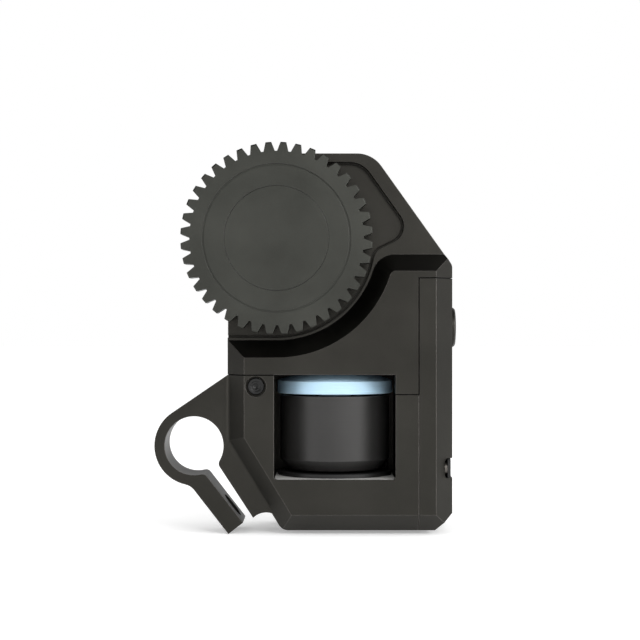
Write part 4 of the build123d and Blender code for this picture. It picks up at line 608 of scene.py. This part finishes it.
def chip_legs(name, width, depth, height, pitch, moves):
    """Bent legs along two sides of a chip, each drawn out of a small upright plane."""
    count = int((depth - 0.6) / pitch) + 1
    legs = []
    for side in (-1, 1):
        for number in range(count):
            bpy.ops.object.select_all(action="DESELECT")
            bpy.ops.mesh.primitive_plane_add(size=1)
            leg = bpy.context.object
            leg.data.transform(Matrix.Diagonal((1, pitch / 2000, 0.00012, 1))
                               @ Matrix.Rotation(pi / 2, 4, "Y"))
            leg.data.transform(mm(side * (width / 2 - 0.2), (number - (count - 1) / 2) * pitch,
                                  height * 0.5))
            bpy.ops.object.mode_set(mode="EDIT")
            bpy.ops.mesh.select_all(action="SELECT")
            for run, drop in ((0.35, 0), (0.15, -height * 0.5 + 0.08), (0.3, 0)):
                bpy.ops.mesh.extrude_region_move(
                    TRANSFORM_OT_translate={"value": Vector((side * run, 0, drop)) / 1000})
            bpy.ops.mesh.select_all(action="SELECT")
            bpy.ops.mesh.normals_make_consistent(inside=False)
            bpy.ops.object.mode_set(mode="OBJECT")
            legs.append(leg)
    return repeated(name, joined("legs", legs), moves)


DRIVER_TOP, MAIN_FACE = -14.3, 59.4
LARGE_CHIP, SMALL_CHIP = (4.0, 5.0, 1.0), (2.5, 5.0, 1.0)
TO_LEFT = Matrix.Rotation(-pi / 2, 4, "Y")
driver_moves = [mm(*MOTOR, DRIVER_TOP)]
side_moves = [mm(MOTOR[0] + x, MOTOR[1], DRIVER_TOP) for x in (-8, 8)]
main_moves = [mm(MAIN_FACE, y, 5.0) @ TO_LEFT for y in (2.5, 12.5)]
chip_black = metal(
    "chip_black", colour=(0.018, 0.018, 0.019), painted_edge_highlight=(0.05, 0.05, 0.05), metallic=0.0,
    roughness=0.5, grain=(3000, 3000, 3000), grain_depth=0.4, edge_radius=0.00005)
driver_bodies = joined("driver_chip_bodies", [chip_bodies("middle", *LARGE_CHIP, driver_moves),
                                              chip_bodies("sides", *SMALL_CHIP, side_moves)])
fit(driver_bodies, chip_black, "chip", "housing", "driver_chips")
main_bodies = chip_bodies("main_chip_bodies", *LARGE_CHIP, main_moves)
fit(main_bodies, chip_black, "chip", "housing", "main_board_chips")
leg_tin = metal(
    "leg_tin", colour=(0.6, 0.6, 0.6), painted_edge_highlight=(0.8, 0.8, 0.8), metallic=1.0,
    roughness=0.3, grain=(3000, 3000, 3000), grain_depth=0.1, edge_radius=0.00003)
all_legs = joined("chip_legs", [
    chip_legs("legs_a", *LARGE_CHIP, pitch=0.65, moves=driver_moves + main_moves),
    chip_legs("legs_b", *SMALL_CHIP, pitch=0.95, moves=side_moves)])
fit(all_legs, leg_tin, "bearing_steel", "housing")
on_driver = [mm(MOTOR[0] + x, MOTOR[1] + y, DRIVER_TOP) for x in (-4.6, 4.6) for y in (-4, -2.4, 2.4, 4)]
on_main = [mm(MAIN_FACE, y, z) @ TO_LEFT for y in (0, 5, 10, 15) for z in (9.5, 14, 18)]
ceramics = repeated("ceramic_parts", block(width=1.0, depth=0.5, height=0.5, soft=0.06), on_driver + on_main)
ceramic = metal(
    "ceramic", colour=(0.32, 0.22, 0.13), painted_edge_highlight=(0.5, 0.4, 0.3), metallic=0.0,
    roughness=0.35, grain=(3000, 3000, 3000), grain_depth=0.1, edge_radius=0.00005)
fit(ceramics, ceramic, "chip", "housing")
wire_black = metal(
    "wire_black", colour=(0.025, 0.025, 0.026), painted_edge_highlight=(0.04, 0.04, 0.04), metallic=0.0,
    roughness=0.6, grain=(2500, 2500, 2500), grain_depth=0.15, edge_radius=0.0001)
finish_nodes(wire_black, "motor_leads", "button_switch")


# Port. A drawn steel shell stands in the notch of the right side, with a moulded tongue inside. A thin black
# collar is pressed around the shell's mouth and closes the notch against dust.

port_steel = metal(
    "port_steel", colour=(0.13, 0.12, 0.11), painted_edge_highlight=(0.3, 0.29, 0.27), metallic=1.0,
    roughness=0.4, grain=(5000, 300, 300), grain_depth=0.1, edge_radius=0.00006)
finish_nodes(port_steel, "usb_shell")
finish_nodes(chip_black, "usb_tongue")
COLLAR_PLACE = (64.4, -5.0, -5.6)
collar = slab("port_collar", width=4.9, depth=9.5, corner=0.85, thickness=0.75)
opening = slab("opening", width=3.3, depth=9.04, corner=1.25, thickness=3)
opening.data.transform(mm(0, 0, -0.5))
cut(collar, opening)
collar.data.transform(mm(*COLLAR_PLACE) @ Matrix.Rotation(pi / 2, 4, "Y"))
fit(collar, board_black, "port_plastic", "housing")


# Button on the right side. Turned from aluminium and dyed like the housing, with a shallow dish on its face, a
# fine ring around the dish, and a flange behind the wall.

finish_nodes(housing_metal, "side_button")


# Screws. M2.5 steel screws with a black oxide skin: cap screws hold the front, the motor, the plate and the gear,
# and eight sunk screws hold the back cover. Threads are turned as close rings.

SOCKET_RADIUS = 0.98
THREAD_FLANK, THREAD_ROOT, THREAD_PITCH = 1.25, 1.03, 0.45


def hexagon(radius, low, high):
    """Six sided cutter."""
    bpy.ops.object.select_all(action="DESELECT")
    bpy.ops.mesh.primitive_cylinder_add(vertices=6, radius=radius / 1000, depth=(high - low) / 1000,
                                        location=(0, 0, (high + low) / 2000))
    cutter = bpy.context.object
    bpy.ops.object.transform_apply(location=True, rotation=True, scale=True)
    return cutter


def thread(length, start):
    """Ringed flank of a thread down to a chamfered tip, as points of a section."""
    count = int((length - start - 0.4) / THREAD_PITCH)
    ridges = []
    for ring in range(count):
        crest = -start - THREAD_PITCH * ring
        ridges += [(THREAD_FLANK, crest), (THREAD_ROOT, crest - THREAD_PITCH / 2)]
    return ridges + [(THREAD_FLANK, -start - THREAD_PITCH * count), (0.95, -length), (0, -length)]


def cap_screw(name, length):
    """Cap screw along -Z with its seat on zero."""
    head = [(0, 1.15), (1.2, 1.15), (1.35, 1.3), (1.75, 1.4), (1.95, 1.38), (2.15, 1.15), (2.15, 0.1), (2.05, 0),
            (THREAD_FLANK, 0)]
    screw = turned(name, head + thread(length, 0.5), steps=40)
    cut(screw, hexagon(SOCKET_RADIUS, 0.35, 2))
    cut(screw, turned("drill_point", [(0, -0.1), (0.75, 0.36), (0, 0.36)], steps=24))
    return screw


def sunk_screw(name, length):
    """Sunk screw along -Z with its flat head at zero."""
    head = [(0, 0), (2.0, 0), (2.15, -0.08), (THREAD_FLANK, -0.95)]
    screw = turned(name, head + thread(length, 1.3), steps=40)
    cut(screw, hexagon(SOCKET_RADIUS, -0.8, 1))
    return screw


TO_FRONT = Matrix.Rotation(pi / 2, 4, "X")
TO_BACK = Matrix.Rotation(-pi / 2, 4, "X")
black_steel = metal(
    "black_steel", colour=(0.030, 0.030, 0.030), painted_edge_highlight=(0.11, 0.11, 0.11), metallic=1.0,
    roughness=0.38, grain=(4000, 4000, 4000), grain_depth=0.2, edge_radius=0.00008)
FRONT_SCREW = (15.9, -10.6, 15.3)
MOTOR_SCREW_SEAT, PLATE_FACE, GEAR_SEAT, COVER_FACE = 23.1, 16.4, -12.2, 21.5
front = repeated("front_cap_screw", cap_screw("screw", 7), [mm(*FRONT_SCREW) @ TO_FRONT])
fit(front, black_steel, "black_screw", "housing", "front_screw")
motor_bolts = repeated("motor_cap_screws", cap_screw("screw", 5.2),
                       [mm(MOTOR[0] + x, MOTOR[1] + y, MOTOR_SCREW_SEAT) for x, y in corners])
fit(motor_bolts, black_steel, "black_screw", "housing", "motor_screws")
plate_places = ((21.2, 67.95), (49.2, 52.5), (15.3, 33.35))
plate_bolts = repeated("plate_cap_screws", cap_screw("screw", 8.3),
                       [mm(x, PLATE_FACE, z) @ TO_BACK for x, z in plate_places])
fit(plate_bolts, black_steel, "black_screw", "housing", "gearbox_plate_screws")
gear_bolts = repeated("gear_cap_screws", cap_screw("screw", 4.1),
                      [mm(OUTPUT_SHAFT[0] + x, GEAR_SEAT, OUTPUT_SHAFT[1] + z) @ TO_FRONT
                       for x, z in around(6.5, first=90, count=3)])
fit(gear_bolts, black_steel, "black_screw", "output", "gear_screws")
cover_places = ((13.55, 65.75), (43.2, 67.9), (59.1, 49.2), (12.15, 24.5), (14.1, 3.35), (20.91, -12.85),
                (60.77, -13.75), (60.75, 39.6))
cover_bolts = repeated("cover_sunk_screws", sunk_screw("screw", 9),
                       [mm(x, COVER_FACE, z) @ TO_BACK for x, z in cover_places])
fit(cover_bolts, black_steel, "black_screw", "housing", "back_cover_screws")


# Floor, background and light. White sweep as in a product photograph: a pale floor that keeps the shadow, a white
# surround whose reflections darken to the left and upwards, and soft boxes at the left, the right and above.

FLOOR_LIFT = 0.34

bpy.ops.object.select_all(action="DESELECT")
bpy.ops.mesh.primitive_plane_add(size=6, location=(0.035, 0, cad_bounds[0][2]))
floor = bpy.context.object
floor.name = "floor"
floor_white = bpy.data.materials.new("floor_white")
floor_white.use_nodes = True
put, link = floor_white.node_tree.nodes.new, floor_white.node_tree.links.new
shader = floor_white.node_tree.nodes["Principled BSDF"]
shader.inputs["Base Color"].default_value = (0.9, 0.9, 0.9, 1)
shader.inputs["Roughness"].default_value = 0.9


def lifted_rays(put, link):
    """One for rays from the camera, off gloss and through glass, and zero for the rest."""
    seen = put("ShaderNodeLightPath")
    mirrored = put("ShaderNodeMath")
    mirrored.operation = "MAXIMUM"
    through = put("ShaderNodeMath")
    through.operation = "MAXIMUM"
    link(seen.outputs["Is Camera Ray"], mirrored.inputs[0])
    link(seen.outputs["Is Glossy Ray"], mirrored.inputs[1])
    link(mirrored.outputs["Value"], through.inputs[0])
    link(seen.outputs["Is Transmission Ray"], through.inputs[1])
    return seen, through.outputs["Value"]


seen, lifted = lifted_rays(put, link)
glow = put("ShaderNodeEmission")
total = put("ShaderNodeAddShader")
lift = put("ShaderNodeMath")
lift.operation = "MULTIPLY"
lift.inputs[1].default_value = FLOOR_LIFT
link(lifted, lift.inputs[0])
link(lift.outputs["Value"], glow.inputs["Strength"])
link(shader.outputs["BSDF"], total.inputs[0])
link(glow.outputs["Emission"], total.inputs[1])
link(total.outputs["Shader"], floor_white.node_tree.nodes["Material Output"].inputs["Surface"])
floor.data.materials.append(floor_white)

world = bpy.data.worlds.new("studio")
bpy.context.scene.world = world
world.use_nodes = True
put, link = world.node_tree.nodes.new, world.node_tree.links.new
surround = world.node_tree.nodes["Background"]
seen, lifted = lifted_rays(put, link)
level = put("ShaderNodeMapRange")
level.inputs["To Min"].default_value = 0.85
level.inputs["To Max"].default_value = 1.0
way = put("ShaderNodeTexCoord")
parts = put("ShaderNodeSeparateXYZ")
fall = put("ShaderNodeMapRange")
fall.inputs["From Min"].default_value = -0.9
fall.inputs["From Max"].default_value = 0.5
fall.inputs["To Min"].default_value = 0.2
fall.inputs["To Max"].default_value = 0.95
rise = put("ShaderNodeMapRange")
rise.inputs["From Min"].default_value = 0.35
rise.inputs["From Max"].default_value = 1.0
rise.inputs["To Min"].default_value = 1.0
rise.inputs["To Max"].default_value = 0.15
both = put("ShaderNodeMath")
both.operation = "MULTIPLY"
wall = put("ShaderNodeMix")
wall.data_type = "FLOAT"
wall.inputs["A"].default_value = 1.0
shade = put("ShaderNodeCombineColor")
link(lifted, level.inputs["Value"])
link(level.outputs["Result"], surround.inputs["Strength"])
link(way.outputs["Generated"], parts.inputs["Vector"])
link(parts.outputs["X"], fall.inputs["Value"])
link(seen.outputs["Is Glossy Ray"], wall.inputs["Factor"])
link(parts.outputs["Z"], rise.inputs["Value"])
link(fall.outputs["Result"], both.inputs[0])
link(rise.outputs["Result"], both.inputs[1])
link(both.outputs["Value"], wall.inputs["B"])
for channel in ("Red", "Green", "Blue"):
    link(wall.outputs["Result"], shade.inputs[channel])
link(shade.outputs["Color"], surround.inputs["Color"])


OBJECT_MIDDLE = Vector((0.035, 0, 0.03))


def softbox(name, place, width, height, power):
    """Large area light that looks at the object's middle."""
    lamp = bpy.data.lights.new(name, "AREA")
    lamp.shape = "RECTANGLE"
    lamp.size, lamp.size_y = width, height
    lamp.energy = power
    holder = bpy.data.objects.new(name, lamp)
    bpy.context.collection.objects.link(holder)
    holder.location = place
    holder.rotation_euler = (OBJECT_MIDDLE - Vector(place)).to_track_quat("-Z", "Y").to_euler()


softbox("left_softbox", (-0.6, -0.45, 0.15), width=0.25, height=0.5, power=1.5)
softbox("right_softbox", (0.68, -0.45, 0.25), width=0.35, height=0.6, power=3.0)
softbox("key_softbox", (0.4, -0.9, 0.5), width=0.4, height=0.4, power=3.5)

# Camera, level and straight in front of the object, with the photograph's framing
camera_data = bpy.data.cameras.new("camera")
camera = bpy.data.objects.new("camera", camera_data)
bpy.context.collection.objects.link(camera)
camera.location = (0.03206, -0.4395, 0.03201)
camera.rotation_euler = (radians(90), 0, 0)
camera_data.sensor_width = 36
camera_data.lens = 95.5
camera_data.clip_start = 0.01
bpy.context.scene.camera = camera
bpy.context.scene.view_settings.view_transform = "Standard"
